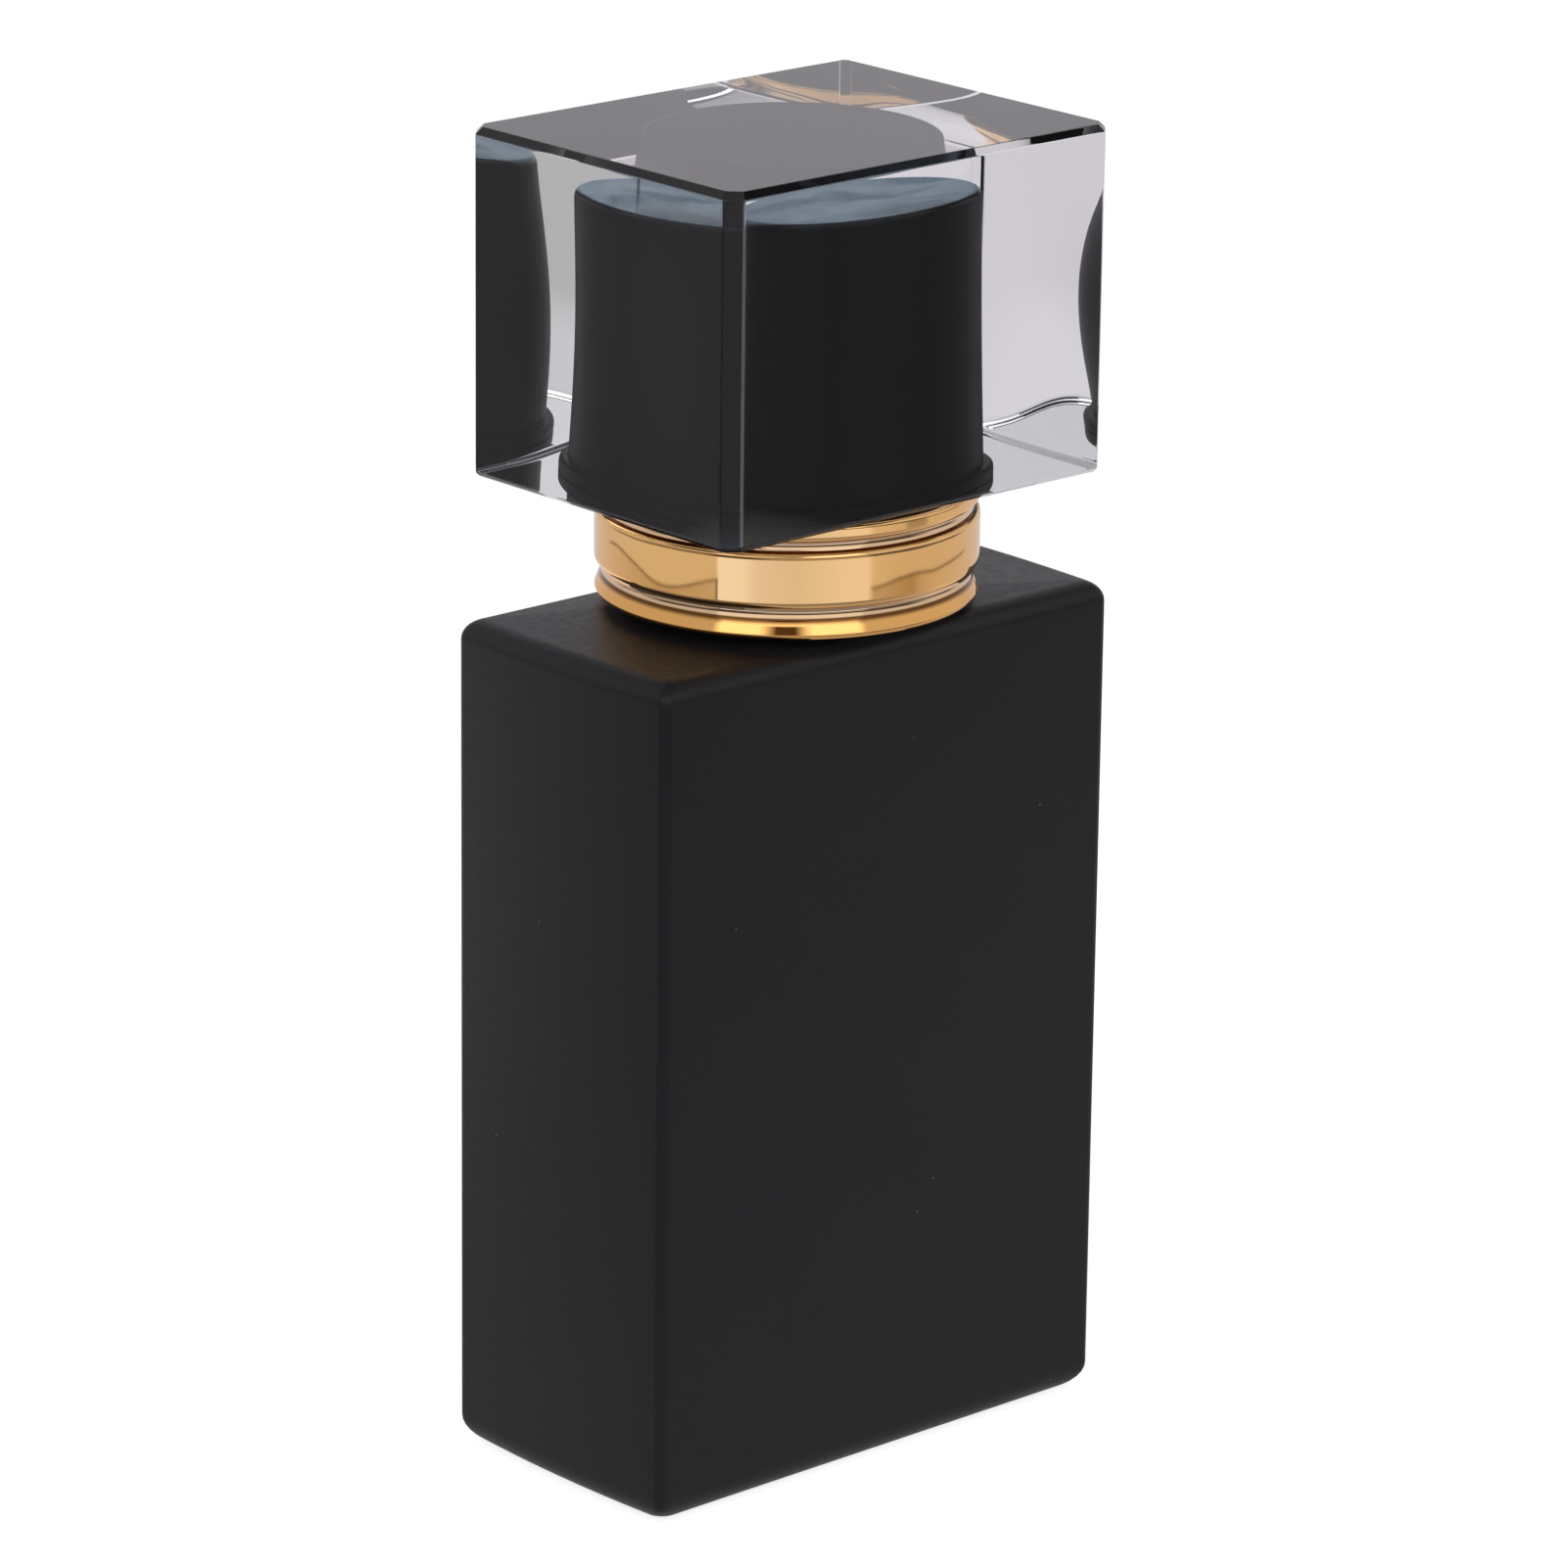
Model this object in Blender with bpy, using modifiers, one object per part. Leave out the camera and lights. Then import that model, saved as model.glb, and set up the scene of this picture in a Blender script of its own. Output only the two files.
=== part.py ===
"""Flat rectangular aftershave bottle with a screw-on spray pump, a gilt collar and a clear block cap.

Every piece is a separate object in metres, +Z up. The bottle stands on its base at the origin, its wide
face looks along -Y, and every moving piece slides or turns on the Z axis.
"""

import math

import bmesh
import bpy
from mathutils import Matrix

# Clearances
SEAT_GAP = 0.00015  # between faces that are clamped or stacked
FIT_GAP = 0.0003  # between pieces that slip over one another
SLIDE_GAP = 0.00015  # round the piston, the stem and the dip tube
RUN_GAP = 0.0004  # between moving and fixed pieces

# Glass bottle
BODY_WIDTH = 0.0440
BODY_DEPTH = 0.0229
SHOULDER_HEIGHT = 0.0636
EDGE_RADIUS = 0.0014
SHOULDER_RADIUS = 0.0015
HEEL_RADIUS = 0.0020
GLASS_WALL = 0.0024
BASE_THICKNESS = 0.0070
SHOULDER_THICKNESS = 0.0032
CAVITY_RADIUS = 0.0020
PUNT_DEPTH = 0.0005
BEARING_WIDTH = 0.0036
NECK_HEIGHT = 0.0076
NECK_BORE = 0.0064
NECK_WALL = 0.00235
NECK_ROOT_RADIUS = 0.0008
LAND_RADIUS = 0.0005
THREAD_DEPTH = 0.0010

# Pump, from the middle outwards
STEM_BORE = 0.0007
STEM_WALL = 0.0009
CROSS_HOLE_RADIUS = 0.0004
PISTON_HEIGHT = 0.0027
PISTON_LIP = 0.0005
PISTON_WAIST = 0.00045
PIN_HEAD_RADIUS = 0.0022
PIN_HEAD_HEIGHT = 0.0006
PIN_SHANK_LENGTH = 0.0012
PIN_BOSS_HEIGHT = 0.0008
BARREL_BORE = 0.0029
BARREL_WALL = 0.0009
RIM_WALL = 0.0015
RIM_HEIGHT = 0.0018
SNAP_BEAD = 0.00025
FLANGE_THICKNESS = 0.0009
GASKET_THICKNESS = 0.0008
SEAL_THICKNESS = 0.0005
GLAND_WALL = 0.0006
GLAND_PLATE = 0.0007
STROKE = 0.0042

# Return spring, inlet ball and dip tube
SPRING_LENGTH = 0.0100
SPRING_TURNS = 8
SPRING_POINTS_PER_TURN = 9
SPRING_RADIUS = 0.0022
SPRING_WIRE_RADIUS = 0.00022
BALL_RADIUS = 0.0012
BALL_LIFT = 0.0008
BALL_LIP_HEIGHT = 0.0004
INLET_RADIUS = 0.00075
INLET_LENGTH = 0.0005
TUBE_RADIUS = 0.0014
TUBE_BORE = 0.0008
TUBE_SOCKET_LENGTH = 0.0050
TUBE_SOCKET_WALL = 0.0008
TUBE_FLOOR_CLEARANCE = 0.0012

# Spray button
BUTTON_CORE_WALL = 0.00045
BUTTON_SHELL_WALL = 0.0003
BUTTON_EDGE_RADIUS = 0.0006
BUTTON_DISH = 0.0005
BOSS_WALL = 0.0009
BOSS_DROP = 0.0010
NOZZLE_RADIUS = 0.0016
NOZZLE_LENGTH = 0.0034
NOZZLE_FLOOR = 0.00055
NOZZLE_COVER = 0.0005
ORIFICE_RADIUS = 0.00025
COUNTERSINK_RADIUS = 0.0008
SWIRL_CUP_RADIUS = 0.0009
PASSAGE_RADIUS = 0.0005

# Screw closure and collar
CLOSURE_WALL = 0.0012
CLOSURE_PLATE = 0.0010
CLOSURE_FOOT_GAP = 0.0008
HAT_WALL = 0.0010
POCKET_WIDTH = 0.0009
OUTER_SKIRT_WALL = 0.0008
WEB_THICKNESS = 0.0010
RIB_COUNT = 12
RIB_THICKNESS = 0.0008
COLLAR_STANDOFF = 0.0010
COLLAR_WALL = 0.00065
SPIGOT_WALL = 0.0005
LIP_ABOVE_LAND = 0.0017
BEAD_HEIGHT = 0.0016
BEAD_ROLL = 0.0005
GROOVE_WIDTH = 0.0008
GROOVE_DEPTH = 0.00035
LIP_HEIGHT = 0.0012
COLLAR_EDGE_RADIUS = 0.0003

# Cap
CAP_SIDE_WALL = 0.00125
CAP_END_WALL = 0.00515
CAP_CROWN = 0.0039
CAP_HEADROOM = 0.0064
CAP_EDGE_CHAMFER = 0.0011
CAP_TOP_CHAMFER = 0.0005
CAP_FOOT_CHAMFER = 0.0001
SLEEVE_WALL = 0.00085
SLEEVE_TOP = 0.0010
SLEEVE_EDGE_RADIUS = 0.0006
SLEEVE_FLANGE_WIDTH = 0.0010
SLEEVE_FLANGE_HEIGHT = 0.0018
GRIP_RIB_COUNT = 6
GRIP_RIB_HEIGHT = 0.0002
GRIP_RIB_WIDTH = 0.0008
GRIP_RIB_LENGTH = 0.0030

# Facets round the circle
LARGE_STEPS = 48
MIDDLE_STEPS = 36
SMALL_STEPS = 24
TINY_STEPS = 16

# Overlaps of joined and cut shapes
CUT_MARGIN = 0.0010  # how far a cutter runs past the face that it opens
JOIN_DEPTH = 0.0002  # how far a joined rib sinks into its wall
BLEND_SHARE = 0.9  # share of a blend's radius on the near side of the face that it runs into

# Heights of the neck stack
LAND_Z = SHOULDER_HEIGHT + NECK_HEIGHT
GASKET_Z = LAND_Z + SEAT_GAP
FLANGE_Z = GASKET_Z + GASKET_THICKNESS + SEAT_GAP
FLANGE_TOP_Z = FLANGE_Z + FLANGE_THICKNESS
RIM_TOP_Z = FLANGE_TOP_Z + RIM_HEIGHT
SEAL_Z = RIM_TOP_Z + SEAT_GAP
GLAND_PLATE_Z = SEAL_Z + SEAL_THICKNESS + SEAT_GAP
GLAND_TOP_Z = GLAND_PLATE_Z + GLAND_PLATE
PLATE_Z = FLANGE_TOP_Z + SEAT_GAP
PLATE_TOP_Z = PLATE_Z + CLOSURE_PLATE

# Heights down the pump barrel
PISTON_TOP_Z = FLANGE_Z - SEAT_GAP
PISTON_Z = PISTON_TOP_Z - PISTON_HEIGHT
PIN_HEAD_TOP_Z = PISTON_Z - SEAT_GAP
PIN_HEAD_Z = PIN_HEAD_TOP_Z - PIN_HEAD_HEIGHT
SPRING_TOP_Z = PIN_HEAD_Z - SEAT_GAP
SPRING_Z = SPRING_TOP_Z - SPRING_LENGTH
BARREL_STEP_Z = SPRING_Z - SEAT_GAP
BALL_LIP_Z = BARREL_STEP_Z - BALL_LIP_HEIGHT
BALL_LIP_RADIUS = BALL_RADIUS - SLIDE_GAP
BALL_TOP_TOUCH = math.sqrt(BALL_RADIUS**2 - BALL_LIP_RADIUS**2)
BALL_Z = BALL_LIP_Z - SEAT_GAP - BALL_LIFT - BALL_TOP_TOUCH
SEAT_APEX_Z = BALL_Z - math.sqrt(2) * (BALL_RADIUS + SEAT_GAP)
BALL_CHAMBER_RADIUS = BALL_RADIUS + RUN_GAP
INLET_TOP_Z = SEAT_APEX_Z + INLET_RADIUS
SOCKET_TOP_Z = INLET_TOP_Z - INLET_LENGTH
SOCKET_Z = SOCKET_TOP_Z - TUBE_SOCKET_LENGTH

# Heights of the spray button
BUTTON_Z = FLANGE_TOP_Z + RUN_GAP + STROKE
BOSS_Z = GLAND_TOP_Z + RUN_GAP + STROKE
CEILING_Z = BOSS_Z + BOSS_DROP
NOZZLE_POCKET_RADIUS = NOZZLE_RADIUS + SEAT_GAP
NOZZLE_Z = CEILING_Z + NOZZLE_FLOOR + NOZZLE_POCKET_RADIUS
CORE_TOP_Z = NOZZLE_Z + NOZZLE_POCKET_RADIUS + NOZZLE_COVER
DISH_Z = CORE_TOP_Z + SEAT_GAP + BUTTON_SHELL_WALL
BUTTON_TOP_Z = DISH_Z + BUTTON_DISH
STEM_SOCKET_TOP_Z = NOZZLE_Z - 2 * PASSAGE_RADIUS
STEM_TOP_Z = STEM_SOCKET_TOP_Z - SEAT_GAP
STEM_Z = PIN_HEAD_TOP_Z + SEAT_GAP

# Heights of the collar and the cap
COLLAR_Z = SHOULDER_HEIGHT + COLLAR_STANDOFF
LIP_Z = LAND_Z + LIP_ABOVE_LAND
CLOSURE_SHOULDER_Z = LIP_Z - COLLAR_WALL - FIT_GAP
SPIGOT_TOP_Z = BUTTON_Z - RUN_GAP
CAP_Z = LIP_Z + FIT_GAP
SLEEVE_CEILING_Z = BUTTON_TOP_Z + CAP_HEADROOM
SLEEVE_TOP_Z = SLEEVE_CEILING_Z + SLEEVE_TOP
CAP_TOP_Z = SLEEVE_TOP_Z + CAP_CROWN

# Radii from the axis outwards
STEM_RADIUS = STEM_BORE + STEM_WALL
STEM_HOLE = STEM_RADIUS + SLIDE_GAP
PISTON_RADIUS = BARREL_BORE - SLIDE_GAP
RIM_RADIUS = BARREL_BORE + RIM_WALL
GLAND_BORE = RIM_RADIUS + SNAP_BEAD + SLIDE_GAP
GLAND_RADIUS = GLAND_BORE + GLAND_WALL
CORE_BORE = GLAND_RADIUS + RUN_GAP
CORE_RADIUS = CORE_BORE + BUTTON_CORE_WALL
BUTTON_RADIUS = CORE_RADIUS + SEAT_GAP + BUTTON_SHELL_WALL
WELL_RADIUS = BUTTON_RADIUS + RUN_GAP
NECK_RADIUS = NECK_BORE + NECK_WALL
FLANGE_RADIUS = NECK_RADIUS - SEAT_GAP
HAT_BORE = NECK_RADIUS + FIT_GAP
HAT_RADIUS = HAT_BORE + HAT_WALL
SPIGOT_RADIUS = HAT_RADIUS + FIT_GAP + SPIGOT_WALL
SLEEVE_BORE = SPIGOT_RADIUS + FIT_GAP
SLEEVE_RADIUS = SLEEVE_BORE + SLEEVE_WALL
FLANGE_SEAT_RADIUS = SLEEVE_RADIUS + SLEEVE_FLANGE_WIDTH + SEAT_GAP
THREAD_BORE = NECK_RADIUS + THREAD_DEPTH + RUN_GAP
POCKET_RADIUS = THREAD_BORE + CLOSURE_WALL
OUTER_SKIRT_BORE = POCKET_RADIUS + POCKET_WIDTH
CLOSURE_RADIUS = OUTER_SKIRT_BORE + OUTER_SKIRT_WALL
COLLAR_RADIUS = CLOSURE_RADIUS + FIT_GAP + COLLAR_WALL
CAP_WIDTH = 2 * (FLANGE_SEAT_RADIUS + CAP_END_WALL)
CAP_DEPTH = 2 * (FLANGE_SEAT_RADIUS + CAP_SIDE_WALL)


def clear_scene():
    for old in list(bpy.data.objects):
        bpy.data.objects.remove(old, do_unlink=True)


def new_collection(name):
    collection = bpy.data.collections.new(name)
    bpy.context.scene.collection.children.link(collection)
    return collection


def new_material(name, colour, roughness, metallic=0.0, transmission=0.0):
    """A Principled material; colour is linear RGB."""
    material = bpy.data.materials.new(name)
    material.use_nodes = True
    shader = material.node_tree.nodes["Principled BSDF"]
    shader.inputs["Base Color"].default_value = (*colour, 1.0)
    shader.inputs["Roughness"].default_value = roughness
    shader.inputs["Metallic"].default_value = metallic
    shader.inputs["Transmission Weight"].default_value = transmission
    material.diffuse_color = (*colour, 1.0)
    return material


def new_axis(name, parent=None):
    """An empty on the Z axis that the pieces of one moving body hang from."""
    axis = bpy.data.objects.new(name, None)
    axis.empty_display_size = BODY_DEPTH
    axis.parent = parent
    parts.objects.link(axis)
    return axis


def place(obj, material, body):
    """Makes an object a piece of the bottle: its finish, its body and even shading."""
    obj.data.materials.append(material)
    obj.parent = body
    parts.objects.link(obj)
    if obj.type == "MESH":
        obj.modifiers.new("even_shading", "WEIGHTED_NORMAL")
    return obj


def helper(obj):
    """Keeps a cutter or a joined rib out of the finished object."""
    obj.hide_render = True
    obj.display_type = "WIRE"
    cutters.objects.link(obj)
    return obj


def combine(obj, other, operation):
    boolean = obj.modifiers.new(f"{operation.lower()}_{other.name}", "BOOLEAN")
    boolean.operation = operation
    boolean.solver = "EXACT"
    boolean.object = other


def arc(centre_r, centre_z, radius, start, end, count):
    """Points on an arc in the (radius, height) plane, angles in degrees from the outward direction."""
    angles = [math.radians(start + (end - start) * i / count) for i in range(count + 1)]
    return [(centre_r + radius * math.cos(a), centre_z + radius * math.sin(a)) for a in angles]


def turned(name, profile, steps):
    """A profile of (radius, height) points swept once round Z.

    A profile that starts and ends on the axis makes a solid, and any other is closed into a ring. It runs
    down the outer side and back up the inner side.
    """
    solid = profile[0][0] == 0 and profile[-1][0] == 0
    edges = [(i, i + 1) for i in range(len(profile) - 1)]
    if not solid:
        edges.append((len(profile) - 1, 0))
    mesh = bpy.data.meshes.new(name)
    mesh.from_pydata([(r, 0.0, z) for r, z in profile], edges, [])
    obj = bpy.data.objects.new(name, mesh)
    screw = obj.modifiers.new("turn", "SCREW")
    screw.steps = steps
    screw.render_steps = steps
    screw.use_merge_vertices = True
    screw.merge_threshold = 1e-6
    screw.use_smooth_shade = True
    return obj


def bevelled_box(name, size, floor_z, upright, top, bottom, segments):
    """A box on the Z axis whose upright, top and bottom edges each have their own bevel."""
    widest = max(upright, top, bottom)
    bm = bmesh.new()
    bmesh.ops.create_cube(bm, size=1.0)
    weight = bm.edges.layers.float.new("bevel_weight_edge")
    for edge in bm.edges:
        low, high = sorted(vert.co.z for vert in edge.verts)
        bevel = upright if low < high else (top if low > 0 else bottom)
        edge[weight] = bevel / widest
    bmesh.ops.scale(bm, vec=size, verts=bm.verts)
    bmesh.ops.translate(bm, vec=(0, 0, floor_z + size[2] / 2), verts=bm.verts)
    mesh = bpy.data.meshes.new(name)
    bm.to_mesh(mesh)
    bm.free()
    mesh.shade_smooth()
    obj = bpy.data.objects.new(name, mesh)
    bevel = obj.modifiers.new("edges", "BEVEL")
    bevel.limit_method = "WEIGHT"
    bevel.width = widest
    bevel.segments = segments
    bevel.use_clamp_overlap = False
    return obj


def ring_of_blocks(name, count, inner, outer, thickness, low_z, high_z):
    """Radial blocks, evenly spaced round the axis."""
    bm = bmesh.new()
    size = Matrix.Diagonal((outer - inner, thickness, high_z - low_z, 1))
    reach = Matrix.Translation(((inner + outer) / 2, 0, (low_z + high_z) / 2))
    for i in range(count):
        turn = Matrix.Rotation(2 * math.pi * i / count, 4, "Z")
        bmesh.ops.create_cube(bm, size=1.0, matrix=turn @ reach @ size)
    mesh = bpy.data.meshes.new(name)
    bm.to_mesh(mesh)
    bm.free()
    return bpy.data.objects.new(name, mesh)


def rod_along_y(name, radius, near_y, far_y, z, steps):
    """A plain round cutter parallel to Y."""
    bm = bmesh.new()
    lay_down = Matrix.Rotation(math.pi / 2, 4, "X")
    place_rod = Matrix.Translation((0, (near_y + far_y) / 2, z)) @ lay_down
    depth = far_y - near_y
    bmesh.ops.create_cone(
        bm, cap_ends=True, segments=steps, radius1=radius, radius2=radius, depth=depth, matrix=place_rod
    )
    mesh = bpy.data.meshes.new(name)
    bm.to_mesh(mesh)
    bm.free()
    return bpy.data.objects.new(name, mesh)


def make_bottle():
    """Blown flask with a thick base, an even wall, a shallow punt and a round neck."""
    size = (BODY_WIDTH, BODY_DEPTH, SHOULDER_HEIGHT)
    bottle = bevelled_box("glass_bottle", size, 0, EDGE_RADIUS, SHOULDER_RADIUS, HEEL_RADIUS, 4)
    neck_sink_z = SHOULDER_HEIGHT - SHOULDER_THICKNESS / 2
    root_r = NECK_RADIUS + NECK_ROOT_RADIUS
    root_z = SHOULDER_HEIGHT + BLEND_SHARE * NECK_ROOT_RADIUS
    neck = [(0, LAND_Z)]
    neck += arc(NECK_RADIUS - LAND_RADIUS, LAND_Z - LAND_RADIUS, LAND_RADIUS, 90, 0, 3)
    neck += arc(root_r, root_z, NECK_ROOT_RADIUS, 180, 260, 4)
    neck += [(neck[-1][0], neck_sink_z), (0, neck_sink_z)]
    combine(bottle, helper(turned("neck_blank", neck, MIDDLE_STEPS)), "UNION")

    cavity_height = SHOULDER_HEIGHT - SHOULDER_THICKNESS - BASE_THICKNESS
    cavity_size = (BODY_WIDTH - 2 * GLASS_WALL, BODY_DEPTH - 2 * GLASS_WALL, cavity_height)
    cavity = bevelled_box("cavity", cavity_size, BASE_THICKNESS, *[CAVITY_RADIUS] * 3, 3)
    combine(bottle, helper(cavity), "DIFFERENCE")

    mouth_r = NECK_BORE + LAND_RADIUS
    bore_foot_z = SHOULDER_HEIGHT - SHOULDER_THICKNESS - CUT_MARGIN
    bore = [(0, LAND_Z + CUT_MARGIN), (mouth_r, LAND_Z + CUT_MARGIN)]
    bore += arc(mouth_r, LAND_Z - BLEND_SHARE * LAND_RADIUS, LAND_RADIUS, 90, 180, 3)
    bore += [(NECK_BORE, bore_foot_z), (0, bore_foot_z)]
    combine(bottle, helper(turned("neck_bore", bore, MIDDLE_STEPS)), "DIFFERENCE")

    punt_size = (BODY_WIDTH - 2 * BEARING_WIDTH, BODY_DEPTH - 2 * BEARING_WIDTH, 2 * PUNT_DEPTH)
    punt_edge = BLEND_SHARE * PUNT_DEPTH
    punt = bevelled_box("punt", punt_size, -PUNT_DEPTH, HEEL_RADIUS, punt_edge, punt_edge, 2)
    combine(bottle, helper(punt), "DIFFERENCE")
    return bottle


def make_gasket():
    inner, top = NECK_BORE + FIT_GAP, GASKET_Z + GASKET_THICKNESS
    profile = [(inner, top), (FLANGE_RADIUS, top), (FLANGE_RADIUS, GASKET_Z), (inner, GASKET_Z)]
    return turned("neck_gasket", profile, MIDDLE_STEPS)


def make_housing():
    """Barrel that hangs in the neck by its flange, with the ball seat and the tube socket below."""
    barrel_r = BARREL_BORE + BARREL_WALL
    socket_bore = TUBE_RADIUS + SLIDE_GAP
    socket_r = socket_bore + TUBE_SOCKET_WALL
    bead_z = FLANGE_TOP_Z + RIM_HEIGHT / 2
    profile = [
        (BARREL_BORE, RIM_TOP_Z),
        (RIM_RADIUS - SNAP_BEAD, RIM_TOP_Z),
        (RIM_RADIUS + SNAP_BEAD, bead_z + SNAP_BEAD),
        (RIM_RADIUS + SNAP_BEAD, bead_z),
        (RIM_RADIUS, bead_z - SNAP_BEAD),
        (RIM_RADIUS, FLANGE_TOP_Z),
        (FLANGE_RADIUS, FLANGE_TOP_Z),
        (FLANGE_RADIUS, FLANGE_Z),
        (barrel_r, FLANGE_Z),
        (barrel_r, BARREL_STEP_Z),
        (socket_r, BARREL_STEP_Z - (barrel_r - socket_r)),
        (socket_r, SOCKET_Z),
        (socket_bore, SOCKET_Z),
        (socket_bore, SOCKET_TOP_Z),
        (INLET_RADIUS, SOCKET_TOP_Z),
        (INLET_RADIUS, INLET_TOP_Z),
        (BALL_CHAMBER_RADIUS, SEAT_APEX_Z + BALL_CHAMBER_RADIUS),
        (BALL_CHAMBER_RADIUS, BALL_LIP_Z),
        (BALL_LIP_RADIUS, BALL_LIP_Z),
        (BALL_LIP_RADIUS, BARREL_STEP_Z),
        (BARREL_BORE, BARREL_STEP_Z),
    ]
    return turned("pump_housing", profile, SMALL_STEPS)


def make_gland():
    """Snap ring over the housing rim, with the tube that guides the stem and stops the piston."""
    foot_z = FLANGE_TOP_Z + SEAT_GAP
    lip_bore = RIM_RADIUS + SLIDE_GAP
    lip_top_z = FLANGE_TOP_Z + RIM_HEIGHT / 2 - SNAP_BEAD - SEAT_GAP
    guide_r = BARREL_BORE - FIT_GAP
    profile = [
        (STEM_HOLE, GLAND_TOP_Z),
        (GLAND_RADIUS - SNAP_BEAD, GLAND_TOP_Z),
        (GLAND_RADIUS, GLAND_TOP_Z - SNAP_BEAD),
        (GLAND_RADIUS, foot_z),
        (lip_bore, foot_z),
        (lip_bore, lip_top_z),
        (GLAND_BORE, lip_top_z + SNAP_BEAD / 2),
        (GLAND_BORE, GLAND_PLATE_Z),
        (guide_r, GLAND_PLATE_Z),
        (guide_r, FLANGE_Z),
        (STEM_HOLE, FLANGE_Z),
    ]
    return turned("housing_gland", profile, SMALL_STEPS)


def make_gland_seal():
    inner, outer, top = BARREL_BORE - SLIDE_GAP, RIM_RADIUS - SLIDE_GAP, SEAL_Z + SEAL_THICKNESS
    profile = [(inner, top), (outer, top), (outer, SEAL_Z), (inner, SEAL_Z)]
    return turned("gland_seal", profile, SMALL_STEPS)


def make_stem():
    chamfer = STEM_WALL / 3
    profile = [
        (STEM_BORE, STEM_TOP_Z),
        (STEM_RADIUS - chamfer, STEM_TOP_Z),
        (STEM_RADIUS, STEM_TOP_Z - chamfer),
        (STEM_RADIUS, STEM_Z),
        (STEM_BORE, STEM_Z),
    ]
    stem = turned("pump_stem", profile, SMALL_STEPS)
    inlet_z = STEM_Z + PIN_SHANK_LENGTH
    reach = STEM_RADIUS + CUT_MARGIN
    inlet = rod_along_y("stem_inlet", CROSS_HOLE_RADIUS, -reach, reach, inlet_z, TINY_STEPS)
    combine(stem, helper(inlet), "DIFFERENCE")
    return stem


def make_valve_pin():
    """Plug in the foot of the stem: its head carries the piston and its boss centres the spring."""
    shank_r = STEM_BORE - SLIDE_GAP
    shank_top_z = STEM_Z + PIN_SHANK_LENGTH - CROSS_HOLE_RADIUS
    boss_r = SPRING_RADIUS - SPRING_WIRE_RADIUS - FIT_GAP
    boss_z = PIN_HEAD_Z - PIN_BOSS_HEIGHT
    profile = [
        (0, shank_top_z),
        (shank_r, shank_top_z),
        (shank_r, PIN_HEAD_TOP_Z),
        (PIN_HEAD_RADIUS, PIN_HEAD_TOP_Z),
        (PIN_HEAD_RADIUS, PIN_HEAD_Z),
        (boss_r, PIN_HEAD_Z),
        (boss_r, boss_z),
        (0, boss_z),
    ]
    return turned("valve_pin", profile, SMALL_STEPS)


def make_piston():
    """Soft sleeve with a flared lip at each end."""
    waist_r = PISTON_RADIUS - PISTON_WAIST
    profile = [
        (STEM_HOLE, PISTON_TOP_Z),
        (PISTON_RADIUS, PISTON_TOP_Z),
        (PISTON_RADIUS, PISTON_TOP_Z - PISTON_LIP),
        (waist_r, PISTON_TOP_Z - 2 * PISTON_LIP),
        (waist_r, PISTON_Z + 2 * PISTON_LIP),
        (PISTON_RADIUS, PISTON_Z + PISTON_LIP),
        (PISTON_RADIUS, PISTON_Z),
        (STEM_HOLE, PISTON_Z),
    ]
    return turned("piston", profile, SMALL_STEPS)


def make_spring():
    """Open-ended coil spring: one wire on a helix of even pitch."""
    first_z = SPRING_Z + SPRING_WIRE_RADIUS
    climb = SPRING_LENGTH - 2 * SPRING_WIRE_RADIUS
    count = SPRING_TURNS * SPRING_POINTS_PER_TURN
    curve = bpy.data.curves.new("return_spring", "CURVE")
    curve.dimensions = "3D"
    curve.bevel_depth = SPRING_WIRE_RADIUS
    curve.bevel_resolution = 1
    curve.use_fill_caps = True
    wire = curve.splines.new("POLY")
    wire.points.add(count)
    path = []
    for i, point in enumerate(wire.points):
        angle = 2 * math.pi * i / SPRING_POINTS_PER_TURN
        x, y = SPRING_RADIUS * math.cos(angle), SPRING_RADIUS * math.sin(angle)
        path.append((x, y, first_z + climb * i / count))
        point.co = (*path[-1], 1.0)
    half_turn = SPRING_POINTS_PER_TURN // 2
    apart = min(math.dist(path[i], later) for i in range(count) for later in path[i + half_turn :])
    print(f"return_spring: least gap between turns {1000 * (apart - 2 * SPRING_WIRE_RADIUS):.2f} mm")
    return bpy.data.objects.new("return_spring", curve)


def make_ball():
    mesh = bpy.data.meshes.new("check_ball")
    bm = bmesh.new()
    bmesh.ops.create_uvsphere(bm, u_segments=TINY_STEPS, v_segments=TINY_STEPS // 2, radius=BALL_RADIUS)
    bm.to_mesh(mesh)
    bm.free()
    mesh.shade_smooth()
    ball = bpy.data.objects.new("check_ball", mesh)
    ball.location.z = BALL_Z
    return ball


def make_dip_tube():
    """Straight tube, cut on the slant at its foot so that it can't seal against the floor."""
    top_z, foot_z = SOCKET_TOP_Z - SEAT_GAP, BASE_THICKNESS + TUBE_FLOOR_CLEARANCE
    profile = [(TUBE_BORE, top_z), (TUBE_RADIUS, top_z), (TUBE_RADIUS, foot_z), (TUBE_BORE, foot_z)]
    tube = turned("dip_tube", profile, TINY_STEPS)
    side = 4 * TUBE_RADIUS
    slant = Matrix.Rotation(math.radians(-45), 4, "Y")
    below = Matrix.Translation((-TUBE_RADIUS, 0, foot_z)) @ slant @ Matrix.Translation((0, 0, -side / 2))
    bm = bmesh.new()
    bmesh.ops.create_cube(bm, size=side, matrix=below)
    mesh = bpy.data.meshes.new("tube_slant")
    bm.to_mesh(mesh)
    bm.free()
    combine(tube, helper(bpy.data.objects.new("tube_slant", mesh)), "DIFFERENCE")
    return tube


def nozzle_face():
    """Distance from the axis to the flat face of the nozzle, level with the edge of its window."""
    return math.sqrt(BUTTON_RADIUS**2 - NOZZLE_POCKET_RADIUS**2) + SEAT_GAP


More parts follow.
